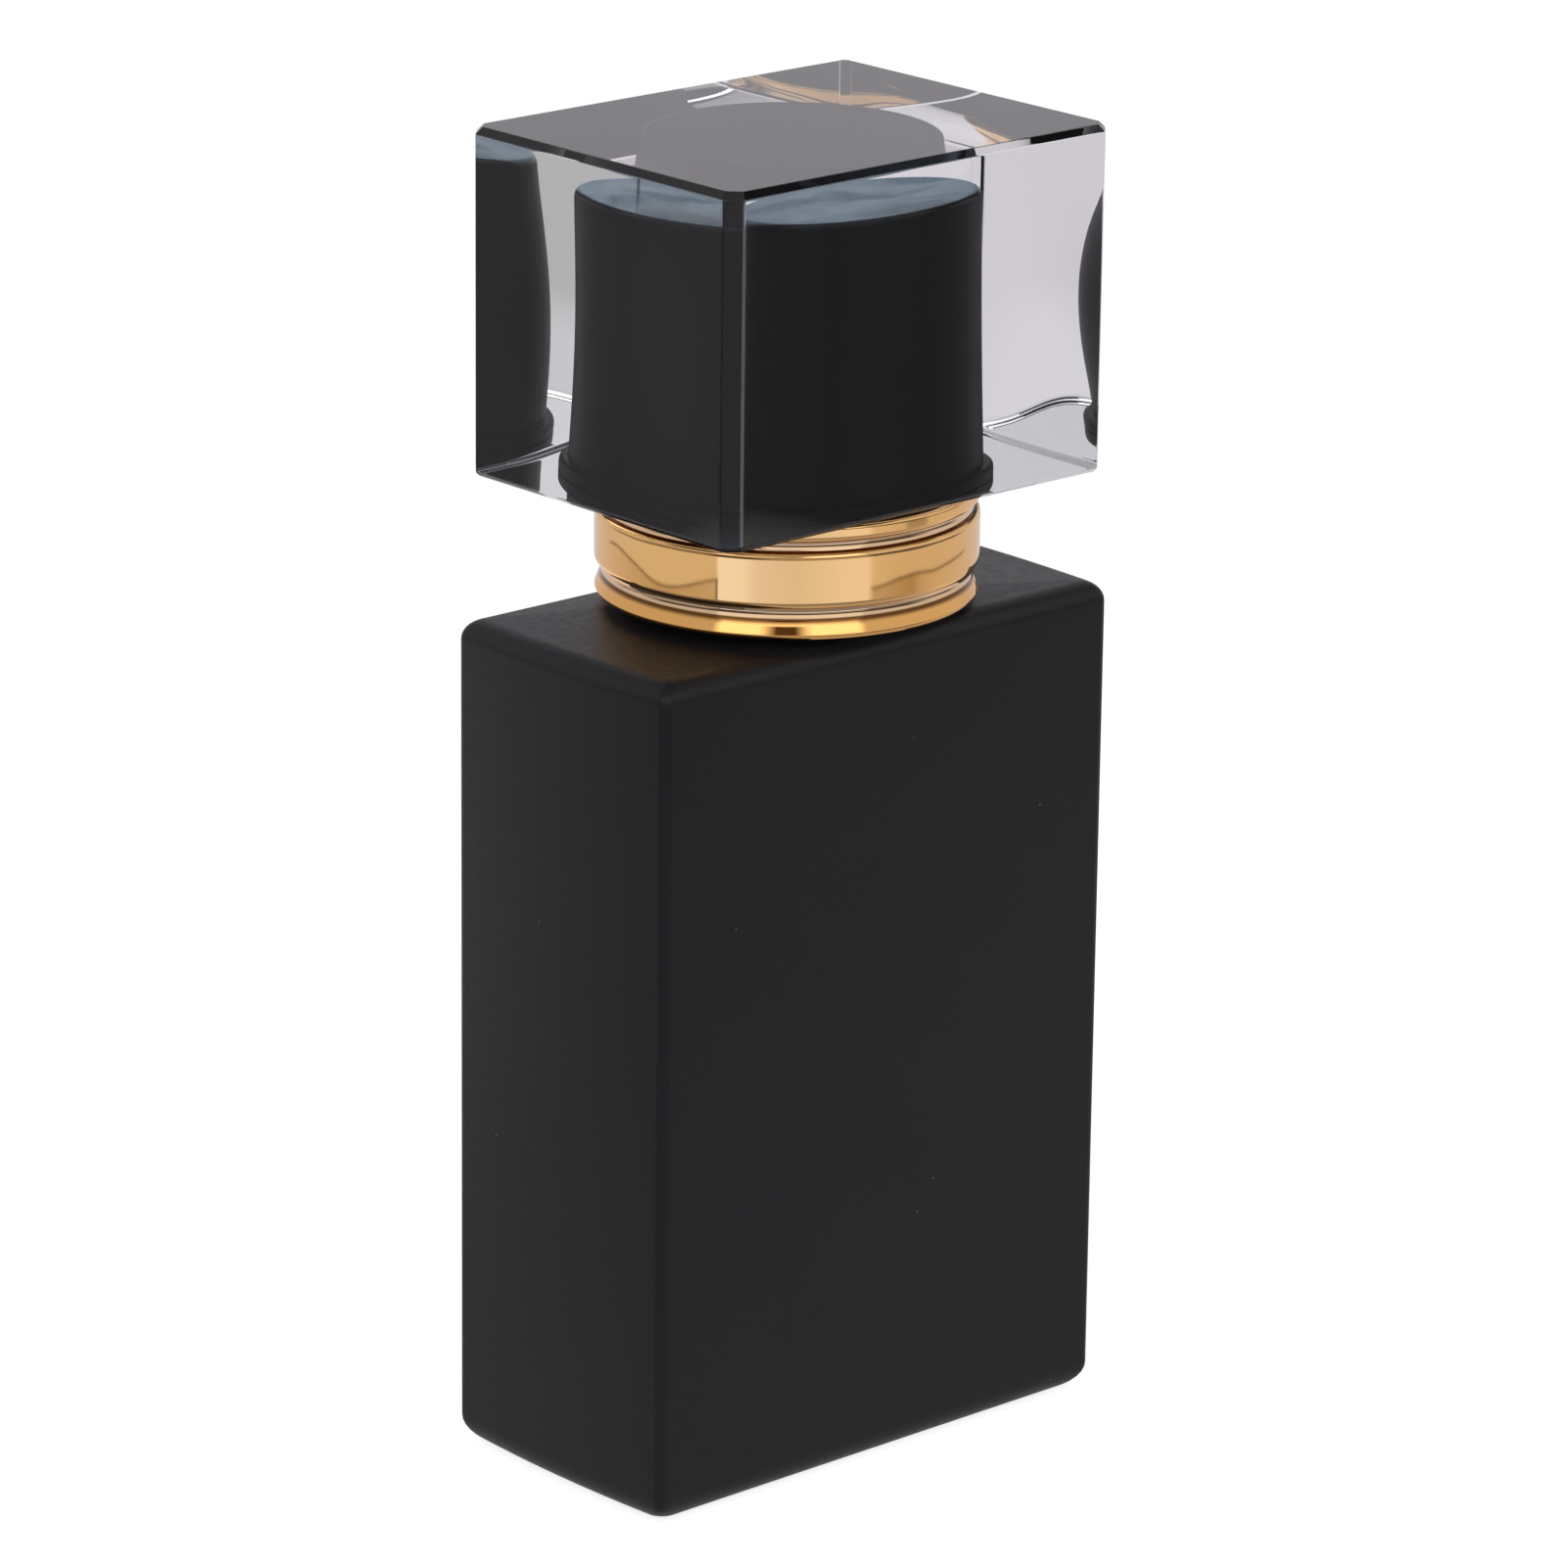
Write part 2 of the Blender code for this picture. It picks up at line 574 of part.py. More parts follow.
def make_button_core():
    """Moulded button: a skirt round the gland, a boss that grips the stem and a pocket for the nozzle."""
    boss_r = STEM_HOLE + BOSS_WALL
    passage_top_z = NOZZLE_Z + PASSAGE_RADIUS
    profile = [
        (0, CORE_TOP_Z),
        (CORE_RADIUS - BUTTON_EDGE_RADIUS, CORE_TOP_Z),
        (CORE_RADIUS, CORE_TOP_Z - BUTTON_EDGE_RADIUS),
        (CORE_RADIUS, BUTTON_Z),
        (CORE_BORE, BUTTON_Z),
        (CORE_BORE, CEILING_Z),
        (boss_r, CEILING_Z),
        (boss_r, BOSS_Z),
        (STEM_HOLE, BOSS_Z),
        (STEM_HOLE, STEM_SOCKET_TOP_Z),
        (PASSAGE_RADIUS, STEM_SOCKET_TOP_Z),
        (PASSAGE_RADIUS, passage_top_z),
        (0, passage_top_z),
    ]
    core = turned("button_core", profile, MIDDLE_STEPS)
    pocket_floor_y = NOZZLE_LENGTH + SEAT_GAP - nozzle_face()
    pocket_mouth_y = -CORE_RADIUS - CUT_MARGIN
    pocket = rod_along_y(
        "nozzle_pocket", NOZZLE_POCKET_RADIUS, pocket_mouth_y, pocket_floor_y, NOZZLE_Z, SMALL_STEPS
    )
    feed = rod_along_y("nozzle_feed", PASSAGE_RADIUS, pocket_floor_y - CUT_MARGIN, 0, NOZZLE_Z, TINY_STEPS)
    combine(core, helper(pocket), "DIFFERENCE")
    combine(core, helper(feed), "DIFFERENCE")
    return core


def make_button_shell():
    """Drawn thimble with a dished top for the finger and a window for the nozzle."""
    bore, edge = CORE_RADIUS + SEAT_GAP, BUTTON_EDGE_RADIUS
    dish_r = BUTTON_RADIUS - 2 * edge
    dish_sphere = (dish_r**2 + BUTTON_DISH**2) / (2 * BUTTON_DISH)
    half_angle = math.degrees(math.asin(dish_r / dish_sphere))
    profile = arc(0, DISH_Z + dish_sphere, dish_sphere, -90, -90 + half_angle, 3)
    profile[0] = (0, DISH_Z)
    profile += arc(BUTTON_RADIUS - edge, BUTTON_TOP_Z - edge, edge, 90, 0, 3)
    profile += [(BUTTON_RADIUS, BUTTON_Z), (bore, BUTTON_Z)]
    profile += [(bore, CORE_TOP_Z - edge), (bore - edge, CORE_TOP_Z + SEAT_GAP), (0, CORE_TOP_Z + SEAT_GAP)]
    shell = turned("button_shell", profile, MIDDLE_STEPS)
    window_r, mouth_y = NOZZLE_POCKET_RADIUS, -BUTTON_RADIUS - CUT_MARGIN
    window = rod_along_y("nozzle_window", window_r, mouth_y, -BARREL_BORE, NOZZLE_Z, SMALL_STEPS)
    combine(shell, helper(window), "DIFFERENCE")
    return shell


def make_nozzle():
    """Cup-shaped insert with a countersunk orifice, turned about its own axis and laid along -Y."""
    chamfer = NOZZLE_RADIUS / 12
    sink = COUNTERSINK_RADIUS - ORIFICE_RADIUS
    cup_depth = NOZZLE_LENGTH - 2 * sink
    profile = [
        (ORIFICE_RADIUS, NOZZLE_LENGTH - sink),
        (COUNTERSINK_RADIUS, NOZZLE_LENGTH),
        (NOZZLE_RADIUS - chamfer, NOZZLE_LENGTH),
        (NOZZLE_RADIUS, NOZZLE_LENGTH - chamfer),
        (NOZZLE_RADIUS, 0),
        (SWIRL_CUP_RADIUS, 0),
        (SWIRL_CUP_RADIUS, cup_depth),
        (ORIFICE_RADIUS, cup_depth),
    ]
    nozzle = turned("nozzle_insert", profile, SMALL_STEPS)
    nozzle.rotation_euler.x = math.pi / 2
    nozzle.location = (0, NOZZLE_LENGTH - nozzle_face(), NOZZLE_Z)
    return nozzle


def make_closure():
    """Moulded nut: threaded inner skirt, outer skirt that backs the collar, ribs between them."""
    foot_z = SHOULDER_HEIGHT + CLOSURE_FOOT_GAP
    outer_foot_z = COLLAR_Z + FIT_GAP
    pocket_z = CLOSURE_SHOULDER_Z - WEB_THICKNESS
    hat_z = LAND_Z - FIT_GAP
    profile = [
        (WELL_RADIUS, PLATE_TOP_Z),
        (HAT_RADIUS, PLATE_TOP_Z),
        (HAT_RADIUS, CLOSURE_SHOULDER_Z),
        (CLOSURE_RADIUS, CLOSURE_SHOULDER_Z),
        (CLOSURE_RADIUS, outer_foot_z),
        (OUTER_SKIRT_BORE, outer_foot_z),
        (OUTER_SKIRT_BORE, pocket_z),
        (POCKET_RADIUS, pocket_z),
        (POCKET_RADIUS, foot_z),
        (THREAD_BORE, foot_z),
        (THREAD_BORE, hat_z),
        (HAT_BORE, hat_z),
        (HAT_BORE, PLATE_Z),
        (WELL_RADIUS, PLATE_Z),
    ]
    closure = turned("screw_closure", profile, LARGE_STEPS)
    rib_in, rib_out = POCKET_RADIUS - JOIN_DEPTH, OUTER_SKIRT_BORE + JOIN_DEPTH
    rib_foot_z, rib_top_z = outer_foot_z + WEB_THICKNESS, pocket_z + JOIN_DEPTH
    ribs = ring_of_blocks(
        "closure_ribs", RIB_COUNT, rib_in, rib_out, RIB_THICKNESS, rib_foot_z, rib_top_z
    )
    combine(closure, helper(ribs), "UNION")
    return closure


def groove(top_z):
    """A rolled round-bottomed groove in the collar band, from its top edge down."""
    count = 6
    turns = [math.pi * i / count for i in range(count + 1)]
    return [
        (COLLAR_RADIUS - GROOVE_DEPTH * math.sin(t), top_z - GROOVE_WIDTH * (1 - math.cos(t)) / 2)
        for t in turns
    ]


def bead_roll():
    """The lower edge of the bead, rolled in along a quarter ellipse."""
    count, height = 4, BEAD_HEIGHT / 2
    turns = [math.pi / 2 * i / count for i in range(count + 1)]
    inner = COLLAR_RADIUS - BEAD_ROLL
    return [(inner + BEAD_ROLL * math.cos(t), COLLAR_Z + height * (1 - math.sin(t))) for t in turns]


def make_collar():
    """Drawn shell: a spigot for the cap, a lip, a plain band between two grooves and a rolled bead."""
    spigot_bore, bore, edge = SPIGOT_RADIUS - SPIGOT_WALL, COLLAR_RADIUS - COLLAR_WALL, COLLAR_EDGE_RADIUS
    opening_r, roof_z = WELL_RADIUS + FIT_GAP, SPIGOT_TOP_Z - SPIGOT_WALL
    lower_groove_z = COLLAR_Z + BEAD_HEIGHT + GROOVE_WIDTH
    profile = [(opening_r, SPIGOT_TOP_Z)]
    profile += arc(SPIGOT_RADIUS - edge, SPIGOT_TOP_Z - edge, edge, 90, 0, 2)
    profile += [(SPIGOT_RADIUS, LIP_Z)]
    profile += arc(COLLAR_RADIUS - edge, LIP_Z - edge, edge, 90, 0, 2)
    profile += groove(LIP_Z - LIP_HEIGHT)
    profile += groove(lower_groove_z)
    profile += bead_roll()
    profile += [(bore, COLLAR_Z), (bore, LIP_Z - COLLAR_WALL), (spigot_bore, LIP_Z - COLLAR_WALL)]
    profile += [(spigot_bore, roof_z), (opening_r, roof_z)]
    return turned("collar_shell", profile, LARGE_STEPS)


def make_cap_block():
    """Polished clear block, bevelled all round, bored for the sleeve and its flange."""
    size = (CAP_WIDTH, CAP_DEPTH, CAP_TOP_Z - CAP_Z)
    block = bevelled_box("cap_block", size, CAP_Z, CAP_EDGE_CHAMFER, CAP_TOP_CHAMFER, CAP_FOOT_CHAMFER, 1)
    bore_r, bore_top_z = SLEEVE_RADIUS + SEAT_GAP, SLEEVE_TOP_Z + SEAT_GAP
    seat_z = CAP_Z + SLEEVE_FLANGE_HEIGHT + SEAT_GAP
    foot_z = CAP_Z - CUT_MARGIN
    bore = [(0, bore_top_z), (bore_r, bore_top_z), (bore_r, seat_z), (FLANGE_SEAT_RADIUS, seat_z)]
    bore += [(FLANGE_SEAT_RADIUS, foot_z), (0, foot_z)]
    combine(block, helper(turned("sleeve_seat", bore, LARGE_STEPS)), "DIFFERENCE")
    return block


def make_cap_sleeve():
    """Black liner cup with a flange at its mouth and short ribs that grip the collar's spigot."""
    edge, flange_r = SLEEVE_EDGE_RADIUS, SLEEVE_RADIUS + SLEEVE_FLANGE_WIDTH
    flange_top_z = CAP_Z + SLEEVE_FLANGE_HEIGHT
    profile = [(0, SLEEVE_TOP_Z)]
    profile += arc(SLEEVE_RADIUS - edge, SLEEVE_TOP_Z - edge, edge, 90, 0, 2)
    profile += [(SLEEVE_RADIUS, flange_top_z)]
    profile += [(flange_r - edge, flange_top_z), (flange_r, flange_top_z - edge), (flange_r, CAP_Z)]
    profile += [(SLEEVE_BORE, CAP_Z), (SLEEVE_BORE, SLEEVE_CEILING_Z), (0, SLEEVE_CEILING_Z)]
    sleeve = turned("cap_sleeve", profile, LARGE_STEPS)
    rib_in, rib_out = SLEEVE_BORE - GRIP_RIB_HEIGHT, SLEEVE_BORE + SLEEVE_WALL / 2
    rib_z = CAP_Z + GRIP_RIB_WIDTH
    ribs = ring_of_blocks(
        "grip_ribs", GRIP_RIB_COUNT, rib_in, rib_out, GRIP_RIB_WIDTH, rib_z, rib_z + GRIP_RIB_LENGTH
    )
    combine(sleeve, helper(ribs), "UNION")
    return sleeve


clear_scene()
parts = new_collection("aftershave_bottle")
cutters = new_collection("cutters")

lacquered_glass = new_material("black_lacquered_glass", (0.020, 0.019, 0.021), 0.5)
gilt_aluminium = new_material("gilt_aluminium", (0.78, 0.50, 0.20), 0.12, metallic=1.0)
clear_acrylic = new_material("clear_acrylic", (0.97, 0.97, 0.98), 0.02, transmission=1.0)
black_plastic = new_material("black_plastic", (0.013, 0.013, 0.014), 0.3)
white_plastic = new_material("white_plastic", (0.80, 0.80, 0.78), 0.4)
natural_plastic = new_material("natural_plastic", (0.72, 0.72, 0.69), 0.35)
tube_plastic = new_material("tube_plastic", (0.80, 0.82, 0.82), 0.25, transmission=0.6)
grey_rubber = new_material("grey_rubber", (0.28, 0.28, 0.29), 0.7)
stainless_steel = new_material("stainless_steel", (0.55, 0.55, 0.54), 0.25, metallic=1.0)

bottle_axis = new_axis("bottle_axis")
pump_axis = new_axis("pump_axis", bottle_axis)
closure_axis = new_axis("closure_axis", pump_axis)
cap_axis = new_axis("cap_axis", closure_axis)
button_axis = new_axis("button_axis", pump_axis)
ball_axis = new_axis("ball_axis", pump_axis)

place(make_bottle(), lacquered_glass, bottle_axis)
place(make_gasket(), grey_rubber, pump_axis)
place(make_housing(), natural_plastic, pump_axis)
place(make_gland(), white_plastic, pump_axis)
place(make_gland_seal(), grey_rubber, pump_axis)
place(make_dip_tube(), tube_plastic, pump_axis)
place(make_spring(), stainless_steel, pump_axis)
place(make_ball(), stainless_steel, ball_axis)
place(make_stem(), white_plastic, button_axis)
place(make_valve_pin(), white_plastic, button_axis)
place(make_piston(), natural_plastic, button_axis)
place(make_button_core(), white_plastic, button_axis)
place(make_button_shell(), gilt_aluminium, button_axis)
place(make_nozzle(), black_plastic, button_axis)
place(make_closure(), white_plastic, closure_axis)
place(make_collar(), gilt_aluminium, closure_axis)
place(make_cap_block(), clear_acrylic, cap_axis)
place(make_cap_sleeve(), black_plastic, cap_axis)
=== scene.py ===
import math

import bpy
import numpy as np
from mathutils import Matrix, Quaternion, Vector


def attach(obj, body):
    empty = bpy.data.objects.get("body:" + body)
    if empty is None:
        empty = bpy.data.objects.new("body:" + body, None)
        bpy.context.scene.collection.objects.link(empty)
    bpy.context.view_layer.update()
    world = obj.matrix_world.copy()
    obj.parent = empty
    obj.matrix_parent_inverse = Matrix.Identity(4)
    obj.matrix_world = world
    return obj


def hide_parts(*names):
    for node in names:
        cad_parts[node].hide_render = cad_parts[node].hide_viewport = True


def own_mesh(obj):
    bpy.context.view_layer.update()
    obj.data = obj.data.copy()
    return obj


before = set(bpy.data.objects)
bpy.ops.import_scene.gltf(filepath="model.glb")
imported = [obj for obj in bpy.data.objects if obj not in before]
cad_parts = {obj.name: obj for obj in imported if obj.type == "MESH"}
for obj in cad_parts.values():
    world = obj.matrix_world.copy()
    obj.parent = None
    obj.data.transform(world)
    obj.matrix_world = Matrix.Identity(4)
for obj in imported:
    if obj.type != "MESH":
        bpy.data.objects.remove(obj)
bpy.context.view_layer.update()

# ---- Glass bottle -------------------------------------------------------------------------------------------
# A pressed flint-glass flask with a thick base and a round screw neck. The outside is sprayed with satin black
# lacquer and baked, so the glass shows nothing of itself. The neck carries one and a half turns of thread.
HALF_WIDTH, HALF_DEPTH, SHOULDER = 22.0, 11.45, 63.6  # mm, as every length up to shaped(), which makes metres
CROWN = 0.45  # how far the narrow sides swell between their edges
EDGE = 0.7  # radius of the upright edges
EDGE_SHRINK, EDGE_GROWTH = 0.2, 0.5  # how fast it shrinks at the shoulder and grows at the heel, by the inset
HEEL, SHOULDER_ROUND = 2.0, 1.5
SHOULDER_CROWN = 0.4  # how far the top rises from its rim to the neck
PUNT, PUNT_MARGIN, PUNT_ROUND, PUNT_EDGE = 0.5, 3.6, 0.45, 0.6
WALL, FLOOR, SHOULDER_WALL, CAVITY_ROUND, CAVITY_EDGE = 2.4, 7.0, 3.2, 2.0, 1.0
NECK, NECK_ROOT, NECK_BORE, LAND, LAND_ROUND = 8.75, 0.8, 6.4, 71.2, 0.5
THREAD_FOOT, THREAD_PITCH, THREAD_HEIGHT, THREAD_WIDTH, THREAD_TURNS = 65.9, 3.2, 0.9, 1.5, 1.5
THREAD_FADE = 1 / 8  # turns in which an end of the thread fades out
THREAD_CREST = 1.6  # height of its rounded ridge before the crest is cut flat, in thread heights
GUARD = 0.1  # how far from an arc the next row lies, so that the flat beside it shades flat


def unit(vectors):
    """Vectors along the last axis, each divided by its length."""
    return vectors / np.linalg.norm(vectors, axis=-1, keepdims=True)


def eased(corners, radii, steps=6, shares=(0.04, 0.96)):
    """Points round closed polygons with their corners rounded off, as an array (rows, points, 2).

    corners is (rows, k, 2) or (k, 2). A corner gives way to the arc that touches both of its edges: it starts
    one tangent length before the corner and is swept about its centre through the angle between the edges.
    What the arcs leave of an edge is divided at the given shares, one set for all edges or one set for each.
    A corner of no radius keeps its single point.
    """
    corners = np.asarray(corners, float).reshape(-1, *np.shape(corners)[-2:])
    radii = np.broadcast_to(radii, corners.shape[:2])
    into, out = unit(corners - np.roll(corners, 1, 1)), unit(np.roll(corners, -1, 1) - corners)
    turn = np.arctan2(into[..., 0] * out[..., 1] - into[..., 1] * out[..., 0], (into * out).sum(-1))
    reach = (radii * np.abs(np.tan(turn / 2)))[..., None]
    start, end = corners - reach * into, corners + reach * out
    inward = np.stack([-into[..., 1], into[..., 0]], -1) * np.sign(turn)[..., None]
    centre = start + radii[..., None] * inward
    arm, swept = start - centre, turn[..., None] * np.linspace(0, 1, steps + 1)
    across, along = arm[..., 0, None], arm[..., 1, None]
    arcs = np.stack(
        [across * np.cos(swept) - along * np.sin(swept), across * np.sin(swept) + along * np.cos(swept)], -1
    )
    arcs = arcs + centre[:, :, None]
    after = np.roll(start, -1, 1)
    runs = []
    for k in range(corners.shape[1]):
        share = np.asarray(shares[k] if np.ndim(shares[0]) else shares, float)[:, None]
        runs.append(arcs[:, k] if radii[:, k].any() else corners[:, k : k + 1])
        runs.append(end[:, k, None] * (1 - share) + after[:, k, None] * share)
    return np.concatenate(runs, 1)


def skin(grid, ends="poles", keep=True):
    """Vertices and faces of a grid of points (rows, columns, 3) whose columns close into rings.

    With poles at its ends, a fan from the middle of the first row and of the last closes them. Joined ends lead
    from the last row to the first, and open ones stay open. Quads that aren't kept are left out. Faces look along
    (step to the next column) x (step to the next row).
    """
    rows, columns = grid.shape[:2]
    index = np.arange(rows * columns).reshape(rows, columns)
    low, high = (index, np.roll(index, -1, 0)) if ends == "joined" else (index[:-1], index[1:])
    quads = np.stack([low, np.roll(low, -1, 1), np.roll(high, -1, 1), high], -1)
    points, faces = grid.reshape(-1, 3), quads[np.broadcast_to(keep, low.shape)].tolist()
    if ends == "poles":
        points = np.concatenate([points, grid[[0, -1]].mean(1)])
        foot, top = rows * columns, rows * columns + 1
        first, last = index[0], index[-1]
        faces += np.stack([np.full(columns, foot), np.roll(first, -1), first], -1).tolist()
        faces += np.stack([last, np.roll(last, -1), np.full(columns, top)], -1).tolist()
    return points, faces


def shaped(name, points, faces, *finishes, crease=35):
    """A smooth-shaded object from vertices in mm, sharp where faces meet at more than the crease angle."""
    mesh = bpy.data.meshes.new(name)
    mesh.from_pydata((points / 1000).tolist(), [], faces)
    mesh.validate()
    mesh.shade_smooth()
    mesh.set_sharp_from_angle(angle=math.radians(crease))
    for finish in finishes:
        mesh.materials.append(finish)
    obj = bpy.data.objects.new(name, mesh)
    bpy.context.scene.collection.objects.link(obj)
    return obj


def linear(code):
    """A colour written as sRGB hex, as linear RGBA: the sRGB curve undone channel by channel."""
    s = np.array([int(code[i : i + 2], 16) for i in (1, 3, 5)]) / 255
    return (*np.where(s <= 0.04045, s / 12.92, ((s + 0.055) / 1.055) ** 2.4), 1.0)


def add(owner, kind, sockets=(), stops=(), **settings):
    """Adds a node to the tree of a material or the world: its settings, the stops of a colour ramp, which starts
    with two, as (position, hex colour), then a value or a link for each input."""
    made = owner.node_tree.nodes.new(kind)
    for name, value in settings.items():
        setattr(made, name, value)
    for _ in stops[2:]:
        made.color_ramp.elements.new(0.5)
    for k, (position, colour) in enumerate(stops):
        made.color_ramp.elements[k].position = position
        made.color_ramp.elements[k].color = linear(colour)
    for socket, value in dict(sockets).items():
        if isinstance(value, bpy.types.NodeSocket):
            owner.node_tree.links.new(value, made.inputs[socket])
        else:
            made.inputs[socket].default_value = value
    return made


def finish(name):
    """An empty node material."""
    material = bpy.data.materials.new(name)
    material.use_nodes = True
    material.node_tree.nodes.clear()
    return material


def lifted(outlines, heights):
    """Flat outlines (rows, points, 2), each raised to its own height, as a grid (rows, points, 3)."""
    return np.concatenate([outlines, np.broadcast_to(heights[:, None, None], (*outlines.shape[:2], 1))], -1)


def stations(inset, height, edge, roundness=0.0, radius=0.0):
    """Rows of the bottle's surface as columns of numbers: how far the outline lies inside the body's, its
    height, the radius of its edges, and how far it has turned into a circle of the given radius."""
    return np.column_stack(np.broadcast_arrays(*np.atleast_1d(inset, height, edge, roundness, radius)))


quarter = np.linspace(0, math.pi / 2, 9)
rise, run = np.sin(quarter), np.cos(quarter)
punt_ring = PUNT_MARGIN + PUNT_ROUND
cavity_ring, cavity_top = WALL + CAVITY_ROUND, SHOULDER - SHOULDER_WALL
root_ring, spread = NECK + NECK_ROOT, np.linspace(0, 1, 9)
neck_foot = SHOULDER + SHOULDER_CROWN
outer_inset = SHOULDER_ROUND * (1 - run)
heel_inset = HEEL * (1 - rise)
neck_heights = np.linspace(neck_foot + NECK_ROOT, LAND - LAND_ROUND, 46)
# From the middle of the recess under the base, out and up the outside, then in over the land and down the cavity.
rows = np.concatenate(
    [
        stations([punt_ring + 3 * GUARD, punt_ring], PUNT, PUNT_EDGE),
        stations(punt_ring - PUNT_ROUND * rise, PUNT - PUNT_ROUND * (1 - run), PUNT_EDGE),
        stations([PUNT_MARGIN, HEEL + GUARD], 0, [PUNT_EDGE, EDGE + EDGE_GROWTH * HEEL]),
        stations(heel_inset, HEEL * (1 - run), EDGE + EDGE_GROWTH * heel_inset),
        stations(0, np.linspace(HEEL + GUARD, SHOULDER - SHOULDER_ROUND - GUARD, 12), EDGE),
        stations(outer_inset, SHOULDER - SHOULDER_ROUND * (1 - rise), EDGE - EDGE_SHRINK * outer_inset),
        stations(SHOULDER_ROUND + GUARD, SHOULDER + SHOULDER_CROWN * spread, EDGE / 2, spread, root_ring),
        stations(0, neck_foot + NECK_ROOT * (1 - run), EDGE, 1, root_ring - NECK_ROOT * rise),
        stations(0, neck_heights, EDGE, 1, NECK),
        stations(0, LAND - LAND_ROUND * (1 - rise), EDGE, 1, NECK - LAND_ROUND * (1 - run)),
        stations(0, LAND - LAND_ROUND * (1 - run), EDGE, 1, NECK_BORE + LAND_ROUND * (1 - rise)),
        stations(0, np.linspace(LAND - 2 * LAND_ROUND, cavity_top, 4), EDGE, 1, NECK_BORE),
        stations(cavity_ring + GUARD, cavity_top, CAVITY_EDGE, 1 - spread[1:], NECK_BORE),
        stations(
            cavity_ring - CAVITY_ROUND * rise, cavity_top - CAVITY_ROUND * (1 - run), CAVITY_EDGE * (1 + rise)
        ),
        stations(WALL, np.linspace(cavity_top - CAVITY_ROUND, FLOOR + CAVITY_ROUND, 6)[1:-1], CAVITY_ROUND),
        stations(cavity_ring - CAVITY_ROUND * run, FLOOR + CAVITY_ROUND * (1 - rise), CAVITY_EDGE * (1 + run)),
    ]
)
body_inset, body_z, body_edge, body_round, body_radius = rows.T
half_x, half_y = HALF_WIDTH - body_inset, HALF_DEPTH - body_inset
box_corners = np.stack(
    [half_x, half_y, -half_x, half_y, -half_x, -half_y, half_x, -half_y], -1
).reshape(-1, 4, 2)
# Columns stand close to the edges, so that the sides between them shade flat.
long_side = np.r_[0.004, np.linspace(0.03, 0.97, 39), 0.996]
short_side = np.r_[0.008, np.linspace(0.05, 0.95, 19), 0.992]
outline = eased(
    box_corners, body_edge[:, None], steps=8, shares=[long_side, short_side, long_side, short_side]
)
outline[..., 0] *= 1 - CROWN / HALF_WIDTH * (outline[..., 1] / half_y[:, None]) ** 2
widest = outline[np.argmax((body_inset == 0) & (body_round == 0))]
bearing = np.arctan2(widest[:, 1], widest[:, 0])
# The thread climbs one pitch a turn: a point's turn is the one whose ridge lies nearest to its height.
turn = bearing / (2 * math.pi)
nearest = turn + np.round((body_z[:, None] - THREAD_FOOT) / THREAD_PITCH - turn)
off_ridge = np.abs(body_z[:, None] - THREAD_FOOT - THREAD_PITCH * nearest) / (THREAD_WIDTH / 2)
ends = np.clip(nearest / THREAD_FADE, 0, 1) * np.clip((THREAD_TURNS - nearest) / THREAD_FADE, 0, 1)
ridge = np.clip(THREAD_CREST * (1 - off_ridge**2), 0, 1) * ends * THREAD_HEIGHT
on_neck = ((body_radius == NECK) & (body_round == 1))[:, None]
round_r = body_radius[:, None] + np.where(on_neck, ridge, 0)
ring = round_r[..., None] * np.stack([np.cos(bearing), np.sin(bearing)], -1)
blended = outline * (1 - body_round[:, None, None]) + ring * body_round[:, None, None]

# Satin lacquer: nearly black and matt, with a broad weak sheen, a faint orange peel of 0.7 mm, slow changes of
# tone over 9 mm and a few settled specks of dust.
lacquer = finish("satin_black_lacquer")
place = add(lacquer, "ShaderNodeTexCoord").outputs["Object"]
tone = add(lacquer, "ShaderNodeTexNoise", {"Vector": place, "Scale": 1000 / 9, "Detail": 3.0})
peel = add(lacquer, "ShaderNodeTexNoise", {"Vector": place, "Scale": 1000 / 0.7, "Detail": 2.0})
dust = add(lacquer, "ShaderNodeTexVoronoi", {"Vector": place, "Scale": 1000 / 5})
speck = add(
    lacquer, "ShaderNodeMapRange",
    {"Value": dust.outputs["Distance"], "From Min": 0.012, "From Max": 0.022, "To Min": 0.5, "To Max": 0.0},
)
coat = add(
    lacquer, "ShaderNodeMix",
    {0: tone.outputs["Fac"], 6: linear("#131114"), 7: linear("#19171a")}, data_type="RGBA",
)
dusty = add(
    lacquer, "ShaderNodeMix",
    {0: speck.outputs["Result"], 6: coat.outputs[2], 7: linear("#7c7a7c")}, data_type="RGBA",
)
sheen = add(
    lacquer, "ShaderNodeMapRange",
    {"Value": peel.outputs["Fac"], "From Min": 0.3, "From Max": 0.7, "To Min": 0.36, "To Max": 0.44},
)
peel_bump = add(
    lacquer, "ShaderNodeBump", {"Height": peel.outputs["Fac"], "Strength": 0.12, "Distance": 0.00005}
)
lacquered = add(
    lacquer, "ShaderNodeBsdfPrincipled",
    {
        "Base Color": dusty.outputs[2], "Roughness": sheen.outputs["Result"], "IOR": 1.5,
        "Specular IOR Level": 0.3, "Normal": peel_bump.outputs["Normal"],
    },
)
add(lacquer, "ShaderNodeOutputMaterial", {"Surface": lacquered.outputs["BSDF"]})

bottle = shaped("lacquered_bottle", *skin(lifted(blended, body_z)), lacquer)
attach(bottle, "bottle")
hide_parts("glass_bottle")

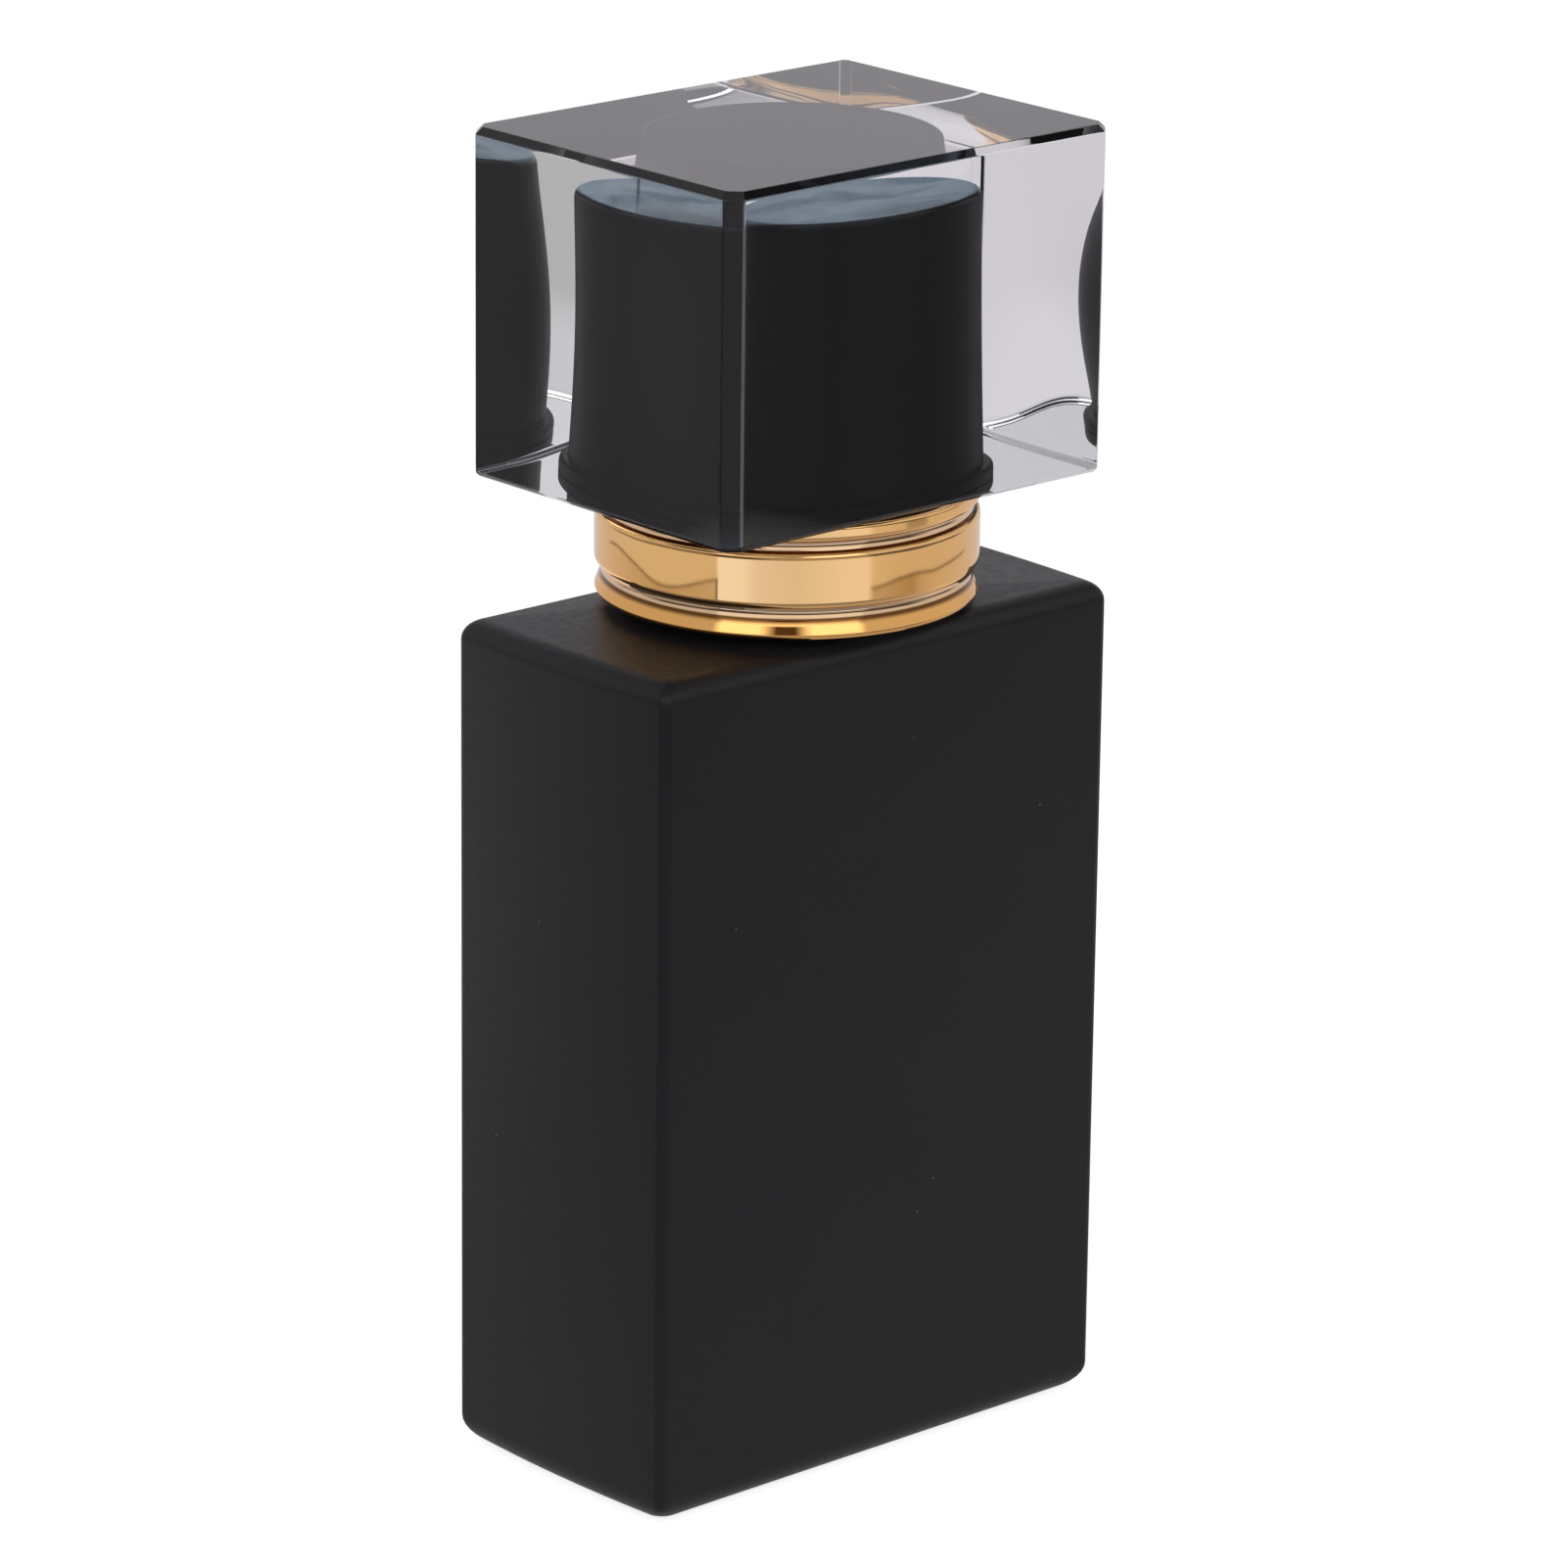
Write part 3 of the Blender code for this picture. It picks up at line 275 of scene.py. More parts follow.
# ---- Spray pump ---------------------------------------------------------------------------------------------
# Injection-moulded polypropylene and acetal pieces, two rubber rings and a polyethylene dip tube, snapped
# together and hung in the neck. They stay as the solids have them, each with the look of its own plastic.
PUMP_LOOKS = {
    "moulded_white_acetal": (
        "#ebebe6", "#dddcd6", 0.42, ["housing_gland", "pump_stem", "valve_pin", "button_core", "screw_closure"],
    ),
    "milky_polypropylene": ("#dedfd8", "#cfd0c9", 0.35, ["pump_housing", "piston"]),
    "extruded_polyethylene": ("#e4e8e8", "#d5dbdb", 0.28, ["dip_tube"]),
    "grey_nitrile_rubber": ("#4a4a4c", "#3c3c3e", 0.75, ["neck_gasket", "gland_seal"]),
}
for name, (light, dark, roughness, nodes) in PUMP_LOOKS.items():
    # Moulded plastic: a soft even body colour with slow flow marks of 3 mm and the 0.25 mm grain of its mould.
    plastic = finish(name)
    place = add(plastic, "ShaderNodeTexCoord").outputs["Object"]
    flow = add(plastic, "ShaderNodeTexNoise", {"Vector": place, "Scale": 1000 / 3, "Detail": 3.0})
    grain = add(plastic, "ShaderNodeTexNoise", {"Vector": place, "Scale": 1000 / 0.25, "Detail": 2.0})
    body = add(
        plastic, "ShaderNodeMix",
        {0: flow.outputs["Fac"], 6: linear(light), 7: linear(dark)}, data_type="RGBA",
    )
    gloss = add(
        plastic, "ShaderNodeMapRange",
        {"Value": grain.outputs["Fac"], "To Min": roughness - 0.06, "To Max": roughness + 0.06},
    )
    grain_bump = add(
        plastic, "ShaderNodeBump", {"Height": grain.outputs["Fac"], "Strength": 0.1, "Distance": 0.00003}
    )
    moulded = add(
        plastic, "ShaderNodeBsdfPrincipled",
        {
            "Base Color": body.outputs[2], "Roughness": gloss.outputs["Result"],
            "Normal": grain_bump.outputs["Normal"], "IOR": 1.49,
        },
    )
    add(plastic, "ShaderNodeOutputMaterial", {"Surface": moulded.outputs["BSDF"]})
    for node in nodes:
        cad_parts[node].data.materials.clear()
        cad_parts[node].data.materials.append(plastic)

# ---- Return spring and inlet ball ---------------------------------------------------------------------------
# A compression spring of drawn stainless wire and a ground stainless ball, loose inside the pump housing. The
# spring shortens between the barrel step and the valve pin as the button goes down.
COIL, WIRE, COIL_TURNS = 2.2, 0.22, 8  # mean radius of the coil, radius of the wire
TURN_STEPS, WIRE_STEPS = 24, 10
SPRING_FOOT, SPRING_TOP, BUTTON_STROKE = 58.55, 68.55, 4.2
along_wire = np.linspace(0, 1, COIL_TURNS * TURN_STEPS + 1)
wind = 2 * math.pi * COIL_TURNS * along_wire
around = np.linspace(0, 2 * math.pi, WIRE_STEPS, endpoint=False)
outward = np.stack([np.cos(wind), np.sin(wind), 0 * wind], -1)
wire_path = COIL * outward
wire_path[:, 2] = SPRING_FOOT + WIRE + (SPRING_TOP - SPRING_FOOT - 2 * WIRE) * along_wire
forward = unit(np.gradient(wire_path, axis=0))
aside = np.cross(outward, forward)
# The wire is a circle carried along the helix, spanned by the outward direction and the one square to both.
wire_grid = wire_path[:, None] + WIRE * (
    np.cos(around)[:, None] * outward[:, None] + np.sin(around)[:, None] * aside[:, None]
)

# Drawn stainless steel: bright grey metal with fine lengthwise die lines, seen as a soft gloss.
steel = finish("drawn_stainless_steel")
place = add(steel, "ShaderNodeTexCoord").outputs["Object"]
die_lines = add(steel, "ShaderNodeTexNoise", {"Vector": place, "Scale": 1000 / 0.15, "Detail": 2.0})
steel_gloss = add(
    steel, "ShaderNodeMapRange", {"Value": die_lines.outputs["Fac"], "To Min": 0.18, "To Max": 0.34}
)
drawn = add(
    steel, "ShaderNodeBsdfPrincipled",
    {"Base Color": linear("#c9c8c6"), "Metallic": 1.0, "Roughness": steel_gloss.outputs["Result"]},
)
add(steel, "ShaderNodeOutputMaterial", {"Surface": drawn.outputs["BSDF"]})
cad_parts["check_ball"].data.materials.clear()
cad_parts["check_ball"].data.materials.append(steel)

spring = shaped("coil_spring", *skin(wire_grid), steel)
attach(spring, "pump")
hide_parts("return_spring")
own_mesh(spring)

# ---- Collar -------------------------------------------------------------------------------------------------
# A deep-drawn aluminium shell pressed over the screw closure, polished and anodised gold. Two grooves are turned
# into it, and the dye is thinner on their freshly cut floors. The bead at its foot is rolled in.
COLLAR, GROOVE_FLOOR, COLLAR_BORE = 14.0, 13.45, 13.35
COLLAR_FOOT, BEAD_TOP, BAND_FOOT, BAND_TOP, LIP_FOOT, LIP_TOP = 64.55, 65.85, 66.75, 70.85, 71.65, 72.9
BEAD_ROLL, LIP_UNDERSIDE = 0.2, 72.25
SPIGOT, SPIGOT_BORE, SPIGOT_TOP, SPIGOT_ROOF, WELL_RIM = 10.85, 10.35, 77.4, 76.9, 7.4
LEDGE_SHADE_RISE, LEDGE_SHADE_HALF = 0.05, 0.12  # the middle of the painted shade over a ledge, and half its height
ROUND_STEPS = 256
# Corners of the section as radius, height and easing. The bead leans in more and more towards its top, and the
# floors of the grooves are slightly hollow.
collar_section = np.array(
    [
        (COLLAR_BORE, COLLAR_FOOT, 0.05), (COLLAR - BEAD_ROLL, COLLAR_FOOT, 0.1),
        (COLLAR, COLLAR_FOOT + 0.25, 0.25), (COLLAR - 0.13, BEAD_TOP - 0.7, 1.4),
        (COLLAR - 0.27, BEAD_TOP - 0.35, 1.2), (COLLAR - 0.44, BEAD_TOP, 0.4),
        (GROOVE_FLOOR + 0.08, BEAD_TOP + 0.12, 0.1), (GROOVE_FLOOR - 0.02, BEAD_TOP + 0.5, 1.2),
        (GROOVE_FLOOR, BAND_FOOT, 0.05), (COLLAR, BAND_FOOT, 0.42), (COLLAR, BAND_TOP, 0.4),
        (GROOVE_FLOOR + 0.08, BAND_TOP + 0.12, 0.15), (GROOVE_FLOOR - 0.02, BAND_TOP + 0.5, 1.2),
        (GROOVE_FLOOR, LIP_FOOT, 0.05), (COLLAR, LIP_FOOT, 0.42), (COLLAR, LIP_TOP, 0.28), (SPIGOT, LIP_TOP, 0.12),
        (SPIGOT, SPIGOT_TOP, 0.3), (WELL_RIM, SPIGOT_TOP, 0.15), (WELL_RIM, SPIGOT_ROOF, 0.15),
        (SPIGOT_BORE, SPIGOT_ROOF, 0.2), (SPIGOT_BORE, LIP_UNDERSIDE, 0.2), (COLLAR_BORE, LIP_UNDERSIDE, 0.3),
    ]
)


def turned(profile, bearings):
    """A profile of (radius, height) points carried round the Z axis to each bearing: a grid of radius times the
    cosine of the bearing, radius times its sine, and height."""
    r, z = profile[:, 0, None], profile[:, 1, None]
    return np.stack([r * np.cos(bearings), r * np.sin(bearings), z + 0 * bearings], -1)


collar_profile = eased(collar_section[:, :2], collar_section[:, 2], steps=8)[0]
full_turn = np.linspace(0, 2 * math.pi, ROUND_STEPS, endpoint=False)

# Gold anodised aluminium: a clear dyed oxide over polished metal, so a mirror with a warm tint, hazed a little by
# the lathe: rings 0.12 mm apart, drawn only as changes of gloss. The attribute says how the dye took and where
# shade
# is painted: plain, thick on the bead, painted dark shade over the groove ledges, or thin on the bright-cut
# floors.
gilt = finish("gold_anodised_aluminium")
place = add(gilt, "ShaderNodeTexCoord").outputs["Object"]
dye_and_shade_read = add(gilt, "ShaderNodeAttribute", attribute_name="dye_and_shade")
ring_place = add(gilt, "ShaderNodeVectorMath", {0: place, 1: (60, 60, 1000 / 0.12)}, operation="MULTIPLY")
rings = add(gilt, "ShaderNodeTexNoise", {"Vector": ring_place.outputs[0], "Scale": 1.0, "Detail": 2.0})
gilt_gloss = add(
    gilt, "ShaderNodeMapRange", {"Value": rings.outputs["Fac"], "To Min": 0.008, "To Max": 0.032}
)
# The dark third stop is painted shade, the dark line along the groove ledges; the others are tints of the dye.
dye_and_shade_stops = [(0.0, "#f5c280"), (0.25, "#f0b66c"), (0.5, "#6e4a26"), (0.75, "#ecc8a0")]
metal = add(gilt, "ShaderNodeValToRGB", {"Fac": dye_and_shade_read.outputs["Fac"]}, dye_and_shade_stops)
anodised = add(
    gilt, "ShaderNodeBsdfPrincipled",
    {"Base Color": metal.outputs["Color"], "Metallic": 1.0, "Roughness": gilt_gloss.outputs["Result"]},
)
add(gilt, "ShaderNodeOutputMaterial", {"Surface": anodised.outputs["BSDF"]})

collar = shaped("gilt_collar", *skin(turned(collar_profile, full_turn), ends="joined"), gilt)
# A point's dye, or the painted shade over a ledge, is told from its place on the section, with room for the easing
# of the corners.
collar_r, collar_z = collar_profile.T
in_groove = (collar_z > BEAD_TOP - 0.05) & (collar_z < LIP_FOOT + 0.15) & (collar_r > COLLAR_BORE + 0.02)
over_ledge = np.abs(collar_z[:, None] - (BEAD_TOP, BAND_TOP) - LEDGE_SHADE_RISE) < LEDGE_SHADE_HALF
dye_and_shade = np.select(
    [
        in_groove & (collar_r < GROOVE_FLOOR + 0.07), in_groove & over_ledge.any(1) & (collar_r < COLLAR - 0.15),
        collar_z < BEAD_TOP - 0.1,
    ],
    [1.0, 0.5, 0.25], 0.0,
)
dye_and_shade_layer = collar.data.attributes.new("dye_and_shade", "FLOAT", "POINT")
dye_and_shade_layer.data.foreach_set("value", np.repeat(dye_and_shade, ROUND_STEPS))
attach(collar, "closure")
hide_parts("collar_shell")

# ---- Spray button -------------------------------------------------------------------------------------------
# A drawn and anodised aluminium thimble pressed over the moulded core, dished for the finger, with a pierced
# window for the nozzle: a black acetal cup with a countersunk orifice, pushed into the core.
BUTTON, BUTTON_BORE, BUTTON_FOOT, BUTTON_TOP, BUTTON_ROUND = 6.7, 6.4, 77.8, 87.6, 0.6
DISH, BUTTON_CEILING = 0.5, 86.8
WINDOW, NOZZLE, NOZZLE_HEIGHT, NOZZLE_LENGTH, NOZZLE_PROUD = 1.75, 1.6, 84.4, 3.4, 0.15
ORIFICE, COUNTERSINK, SWIRL_CUP, NOZZLE_STEPS = 0.25, 0.8, 0.9, 72
POLE = 0.4  # radius of the smallest ring about an axis, which a fan closes
RIM_ROUND = 0.1  # how far the thin rims of thimble and sleeve are broken
PATCH, PATCH_STEPS = 2.4, 12  # half width of the square of wall that is worked round the window
WINDOW_ROWS, WINDOW_BREAK, COARSE_STEPS = 7, 0.04, 180
dish_edge = BUTTON - 2 * BUTTON_ROUND
dish_sphere = (dish_edge**2 + DISH**2) / (2 * DISH)
dish_r = np.linspace(dish_edge, POLE, 10)
edge_arc = np.column_stack([BUTTON - BUTTON_ROUND * (1 - run), BUTTON_TOP - BUTTON_ROUND * (1 - rise)])
dish_arc = np.column_stack([dish_r, BUTTON_TOP - DISH + dish_sphere - np.sqrt(dish_sphere**2 - dish_r**2)])
wall_heights = np.linspace(NOZZLE_HEIGHT - PATCH, NOZZLE_HEIGHT + PATCH, 2 * PATCH_STEPS + 1)
thimble_profile = np.concatenate(
    [
        [(POLE, BUTTON_CEILING), (BUTTON_BORE - BUTTON_ROUND, BUTTON_CEILING)],
        [(BUTTON_BORE, BUTTON_CEILING - BUTTON_ROUND), (BUTTON_BORE, BUTTON_FOOT + RIM_ROUND / 2)],
        [(BUTTON_BORE + RIM_ROUND / 2, BUTTON_FOOT), (BUTTON - RIM_ROUND, BUTTON_FOOT)],
        [(BUTTON - 0.3 * RIM_ROUND, BUTTON_FOOT + 0.3 * RIM_ROUND), (BUTTON, BUTTON_FOOT + RIM_ROUND)],
        [(BUTTON, BUTTON_FOOT + 2 * RIM_ROUND)],
        np.column_stack([np.full(len(wall_heights), BUTTON), wall_heights]),
        edge_arc, dish_arc,
    ]
)
# The columns nearest to -Y are spaced so that the patch ends on a column on either side.
patch_turn = PATCH / BUTTON
coarse = np.linspace(patch_turn, 2 * math.pi - patch_turn, COARSE_STEPS)
fine = np.linspace(-patch_turn, patch_turn, 2 * PATCH_STEPS + 1)[1:-1]
column_turn = np.concatenate([coarse, 2 * math.pi + fine]) - math.pi / 2
# The wall is left open inside the patch, and rings from the patch's square edge to the round window, then in
# through the wall, are set there.
thimble_grid = turned(thimble_profile, column_turn)
walled = np.ones((len(thimble_grid) - 1, len(column_turn)), bool)
patch_row = np.argmax(thimble_profile[:, 1] == wall_heights[0])
walled[patch_row : patch_row + 2 * PATCH_STEPS, COARSE_STEPS - 1 :] = False
thimble_points, thimble_faces = skin(thimble_grid, keep=walled)
step = np.linspace(-PATCH, PATCH, 2 * PATCH_STEPS + 1)[:-1]
square = np.concatenate(
    [
        np.stack([step, 0 * step - PATCH], -1), np.stack([0 * step + PATCH, step], -1),
        np.stack([-step, 0 * step + PATCH], -1), np.stack([0 * step - PATCH, -step], -1),
    ]
)
circle = WINDOW * unit(square)
inner_share = np.linspace(0, 1, WINDOW_ROWS)[:, None, None]
flat_rings = square * (1 - inner_share) + circle * inner_share
ring_r = np.r_[np.full(WINDOW_ROWS, BUTTON), BUTTON - WINDOW_BREAK, BUTTON_BORE][:, None]
flat_rings = np.concatenate([flat_rings, flat_rings[[-1, -1]]])
ring_turn = flat_rings[..., 0] / BUTTON - math.pi / 2
window_grid = np.stack(
    [ring_r * np.cos(ring_turn), ring_r * np.sin(ring_turn), NOZZLE_HEIGHT + flat_rings[..., 1]], -1
)
window_points, window_faces = skin(window_grid, ends="open")
window_faces = (np.array(window_faces) + len(thimble_points)).tolist()
thimble = shaped(
    "gilt_button", np.concatenate([thimble_points, window_points]), thimble_faces + window_faces, gilt
)
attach(thimble, "button")
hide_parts("button_shell")

# Black acetal: deep black with a soft moulded gloss, broken by a fine grain of 0.3 mm.
black = finish("moulded_black_acetal")
place = add(black, "ShaderNodeTexCoord").outputs["Object"]
black_grain = add(black, "ShaderNodeTexNoise", {"Vector": place, "Scale": 1000 / 0.3, "Detail": 2.0})
black_body = add(
    black, "ShaderNodeMix",
    {0: black_grain.outputs["Fac"], 6: linear("#121213"), 7: linear("#19191a")}, data_type="RGBA",
)
black_gloss = add(
    black, "ShaderNodeMapRange", {"Value": black_grain.outputs["Fac"], "To Min": 0.26, "To Max": 0.38}
)
black_moulded = add(
    black, "ShaderNodeBsdfPrincipled",
    {"Base Color": black_body.outputs[2], "Roughness": black_gloss.outputs["Result"], "IOR": 1.48},
)
add(black, "ShaderNodeOutputMaterial", {"Surface": black_moulded.outputs["BSDF"]})
nozzle_face = math.sqrt(BUTTON**2 - WINDOW**2) + NOZZLE_PROUD
sink = COUNTERSINK - ORIFICE
nozzle_section = np.array(
    [
        (ORIFICE, NOZZLE_LENGTH - 2 * sink, 0), (SWIRL_CUP, NOZZLE_LENGTH - 2 * sink, 0.1), (SWIRL_CUP, 0, 0.1),
        (NOZZLE, 0, 0.1), (NOZZLE, NOZZLE_LENGTH, 0.13), (COUNTERSINK, NOZZLE_LENGTH, 0.08),
        (ORIFICE, NOZZLE_LENGTH - sink, 0.04),
    ]
)
nozzle_turn = np.linspace(0, 2 * math.pi, NOZZLE_STEPS, endpoint=False)
upright = turned(eased(nozzle_section[:, :2], nozzle_section[:, 2], steps=5)[0], nozzle_turn)
# Turned about its own axis and laid along -Y: height becomes depth into the button.
lying = np.stack(
    [upright[..., 0], NOZZLE_LENGTH - nozzle_face - upright[..., 2], NOZZLE_HEIGHT + upright[..., 1]], -1
)
nozzle = shaped("spray_nozzle", *skin(lying, ends="joined"), black)
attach(nozzle, "button")
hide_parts("nozzle_insert")

# ---- Cap sleeve ---------------------------------------------------------------------------------------------
# A black polypropylene cup that grips the collar's spigot with six short ribs. It is pressed into the clear block
# so tightly that the acrylic wets it: its wall shows no gloss of its own, and its flat top a little.
SLEEVE, SLEEVE_BORE, SLEEVE_FLANGE, FLANGE_TOP, SLEEVE_DRAFT = 11.4, 11.1, 12.3, 74.2, 0.55
SLEEVE_FOOT, SLEEVE_CEILING, SLEEVE_TOP, SLEEVE_ROUND, FLANGE_ROUND = 73.2, 94.0, 94.65, 0.7, 0.45
CUP_WALL, CUP_ROUND = 0.6, 0.4  # of the blind end
RIBS, RIB_HEIGHT, RIB_WIDTH, RIB_FOOT, RIB_LENGTH, RIB_FADE = 6, 0.2, 0.8, 74.0, 3.0, 0.3
GLOSS_START, GLOSS_FULL = 0.4, 0.02  # how far under its top the sleeve begins to shine, and shines in full
rib_rows = np.linspace(SLEEVE_FOOT + 2 * RIM_ROUND, RIB_FOOT + RIB_LENGTH + 4 * RIM_ROUND, 24)[::-1]
sleeve_neck = SLEEVE - SLEEVE_DRAFT
cup_bore = sleeve_neck - CUP_WALL
sleeve_profile = np.concatenate(
    [
        [(POLE, SLEEVE_CEILING), (cup_bore - CUP_ROUND, SLEEVE_CEILING)],
        [(cup_bore - CUP_ROUND / 4, SLEEVE_CEILING - CUP_ROUND / 4), (cup_bore, SLEEVE_CEILING - CUP_ROUND)],
        np.column_stack([np.full(len(rib_rows), SLEEVE_BORE), rib_rows]),
        [(SLEEVE_BORE + RIM_ROUND, SLEEVE_FOOT), (SLEEVE_FLANGE - RIM_ROUND, SLEEVE_FOOT)],
        [(SLEEVE_FLANGE, SLEEVE_FOOT + RIM_ROUND), (SLEEVE_FLANGE, FLANGE_TOP - FLANGE_ROUND - RIM_ROUND / 2)],
        np.column_stack([SLEEVE_FLANGE - FLANGE_ROUND * (1 - run), FLANGE_TOP - FLANGE_ROUND * (1 - rise)]),
        [(SLEEVE + RIM_ROUND / 2, FLANGE_TOP), (SLEEVE, FLANGE_TOP + RIM_ROUND / 2)],
        [(SLEEVE, FLANGE_TOP + 2 * RIM_ROUND), (sleeve_neck, SLEEVE_TOP - SLEEVE_ROUND - RIM_ROUND)],
        np.column_stack([sleeve_neck - SLEEVE_ROUND * (1 - run), SLEEVE_TOP - SLEEVE_ROUND * (1 - rise)]),
        [(sleeve_neck - SLEEVE_ROUND - RIM_ROUND, SLEEVE_TOP), (POLE, SLEEVE_TOP)],
    ]
)
sleeve_grid = turned(sleeve_profile, full_turn)
# A rib is a smooth swelling of the bore: a cosine bump across its width that fades at its ends.
sleeve_turn = np.arctan2(sleeve_grid[..., 1], sleeve_grid[..., 0])
sleeve_z = sleeve_grid[..., 2]
rib_period = 2 * math.pi / RIBS
off_rib = np.abs((sleeve_turn + rib_period / 2) % rib_period - rib_period / 2) * SLEEVE_BORE / (RIB_WIDTH / 2)
rib_start = np.clip((sleeve_z - RIB_FOOT) / RIB_FADE, 0, 1)
rib_ends = rib_start * np.clip((RIB_FOOT + RIB_LENGTH - sleeve_z) / RIB_FADE, 0, 1)
swelling = RIB_HEIGHT * (0.5 + 0.5 * np.cos(math.pi * np.clip(off_rib, 0, 1))) * rib_ends
in_bore = np.abs(sleeve_profile[:, 0] - SLEEVE_BORE) < 1e-9
sleeve_grid[..., :2] *= (1 - np.where(in_bore[:, None], swelling, 0) / SLEEVE_BORE)[..., None]

# Black polypropylene that the acrylic wets: only depth on the wall. The top is less closely wetted, so at a low
# angle it mirrors the tent with the blue of its dye.
wetted = finish("black_polypropylene")
place = add(wetted, "ShaderNodeTexCoord").outputs["Object"]
wet_flow = add(wetted, "ShaderNodeTexNoise", {"Vector": place, "Scale": 1000 / 4, "Detail": 3.0})
wet_body = add(
    wetted, "ShaderNodeMix",
    {0: wet_flow.outputs["Fac"], 6: linear("#080809"), 7: linear("#0c0c0d")}, data_type="RGBA",
)
wet_gloss = add(
    wetted, "ShaderNodeMapRange", {"Value": wet_flow.outputs["Fac"], "To Min": 0.34, "To Max": 0.46}
)
wet = add(
    wetted, "ShaderNodeBsdfPrincipled",
    {
        "Base Color": wet_body.outputs[2], "Roughness": wet_gloss.outputs["Result"], "IOR": 1.49,
        "Specular IOR Level": 0.05,
    },
)
wet_height = add(wetted, "ShaderNodeSeparateXYZ", {0: place})
wet_top = add(
    wetted, "ShaderNodeMapRange",
    {
        "Value": wet_height.outputs["Z"], "From Min": (SLEEVE_TOP - GLOSS_START) / 1000,
        "From Max": (SLEEVE_TOP - GLOSS_FULL) / 1000,
    },
)
wet_fresnel = add(wetted, "ShaderNodeFresnel", {"IOR": 1.5})
wet_share = add(
    wetted, "ShaderNodeMath", {0: wet_fresnel.outputs[0], 1: wet_top.outputs["Result"]}, operation="MULTIPLY"
)
wet_film = add(
    wetted, "ShaderNodeTexNoise", {"Vector": place, "Scale": 1000 / 6, "Detail": 3.0, "Distortion": 0.6}
)
wet_tint = add(
    wetted, "ShaderNodeMapRange", {"Value": wet_film.outputs["Fac"], "From Min": 0.35, "From Max": 0.65}
)
film_colour = add(
    wetted, "ShaderNodeMix",
    {0: wet_tint.outputs["Result"], 6: linear("#93b0c2"), 7: linear("#c8e0ee")}, data_type="RGBA",
)
wet_mirror = add(wetted, "ShaderNodeBsdfGlossy", {"Color": film_colour.outputs[2], "Roughness": 0.12})
wet_skin = add(
    wetted, "ShaderNodeMixShader", {0: wet_share.outputs[0], 1: wet.outputs[0], 2: wet_mirror.outputs[0]}
)
add(wetted, "ShaderNodeOutputMaterial", {"Surface": wet_skin.outputs[0]})
sleeve = shaped("cap_liner", *skin(sleeve_grid), wetted)
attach(sleeve, "cap")
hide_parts("cap_sleeve")

# ---- Cap block ----------------------------------------------------------------------------------------------
# A heavy block of clear styrene acrylic, moulded and polished, with bevelled upright edges and a small bevel round
# the top. It is bored from below for the sleeve.
CAP_HALF_X, CAP_HALF_Y, CAP_FOOT, CAP_TOP = 18.3, 14.4, 73.2, 98.9
CORNER_BEVEL, TOP_BEVEL, FOOT_BEVEL = 1.1, 0.5, 0.3
REAR_CUT = 0.5  # how much less than the others one rear edge is bevelled
POLISHED_EDGE, FOOT_EDGE, CORNER_STEPS = 0.14, 0.25, 3
SINK_X, SINK_Y = 0.5, 0.15  # how far the narrow and the wide walls sink in as the thick block cools
WETTED_OVERLAP = 0.02  # how far the bore lies inside the sleeve's skin, so that no air is left between them
FACE_REACH = 6.0  # how far in the section follows the foot and the top
HIGHLIGHT_FOOT, HIGHLIGHT_TOP = 0.5, 0.6  # how far from foot and top the painted highlight line ends
BEVEL_SHRINK = 2 - math.sqrt(2)  # how much shorter a 45 degree bevel's leg gets for each mm the outline moves in
side_rows = np.linspace(CAP_FOOT + FOOT_BEVEL + GUARD, CAP_TOP - TOP_BEVEL - GUARD, 24)
side_shares = (side_rows - CAP_FOOT - FOOT_BEVEL) / (CAP_TOP - CAP_FOOT - TOP_BEVEL - FOOT_BEVEL)
cap_section = np.array(
    [
        (FACE_REACH, CAP_FOOT, 0), (FOOT_BEVEL, CAP_FOOT, FOOT_EDGE), (0, CAP_FOOT + FOOT_BEVEL, FOOT_EDGE),
        (0, CAP_TOP - TOP_BEVEL, POLISHED_EDGE), (TOP_BEVEL, CAP_TOP, POLISHED_EDGE), (FACE_REACH, CAP_TOP, 0),
    ]
)
# Rows divide the walls evenly and lie close to the bevels on foot and top. The far ends of both are left out.
row_shares = [[0.99], [0.3, 0.7], side_shares, [0.1, 0.9], [0.01], []]
edge_rows = eased(cap_section[:, :2], cap_section[:, 2], steps=4, shares=row_shares)[0][1:-1]
cap_inset, cap_z = edge_rows.T
cap_x, cap_y = CAP_HALF_X - cap_inset, CAP_HALF_Y - cap_inset
bevel = CORNER_BEVEL - BEVEL_SHRINK * cap_inset
rear = bevel - REAR_CUT
cap_corners = np.stack(
    [
        cap_x, cap_y - rear, cap_x - rear, cap_y, bevel - cap_x, cap_y, -cap_x, cap_y - bevel,
        -cap_x, bevel - cap_y, bevel - cap_x, -cap_y, cap_x - bevel, -cap_y, cap_x, bevel - cap_y,
    ],
    -1,
).reshape(-1, 8, 2)
facet = [0.06, 0.5, 0.94]
wide = np.r_[0.002, np.linspace(0.02, 0.98, 49), 0.998]
narrow = np.r_[0.003, np.linspace(0.025, 0.975, 39), 0.997]
sides = [facet, wide, facet, narrow, facet, wide, facet, narrow]
cap_outline = eased(cap_corners, POLISHED_EDGE, CORNER_STEPS, sides)
cap_bearing = np.arctan2(cap_outline[0, :, 1], cap_outline[0, :, 0])
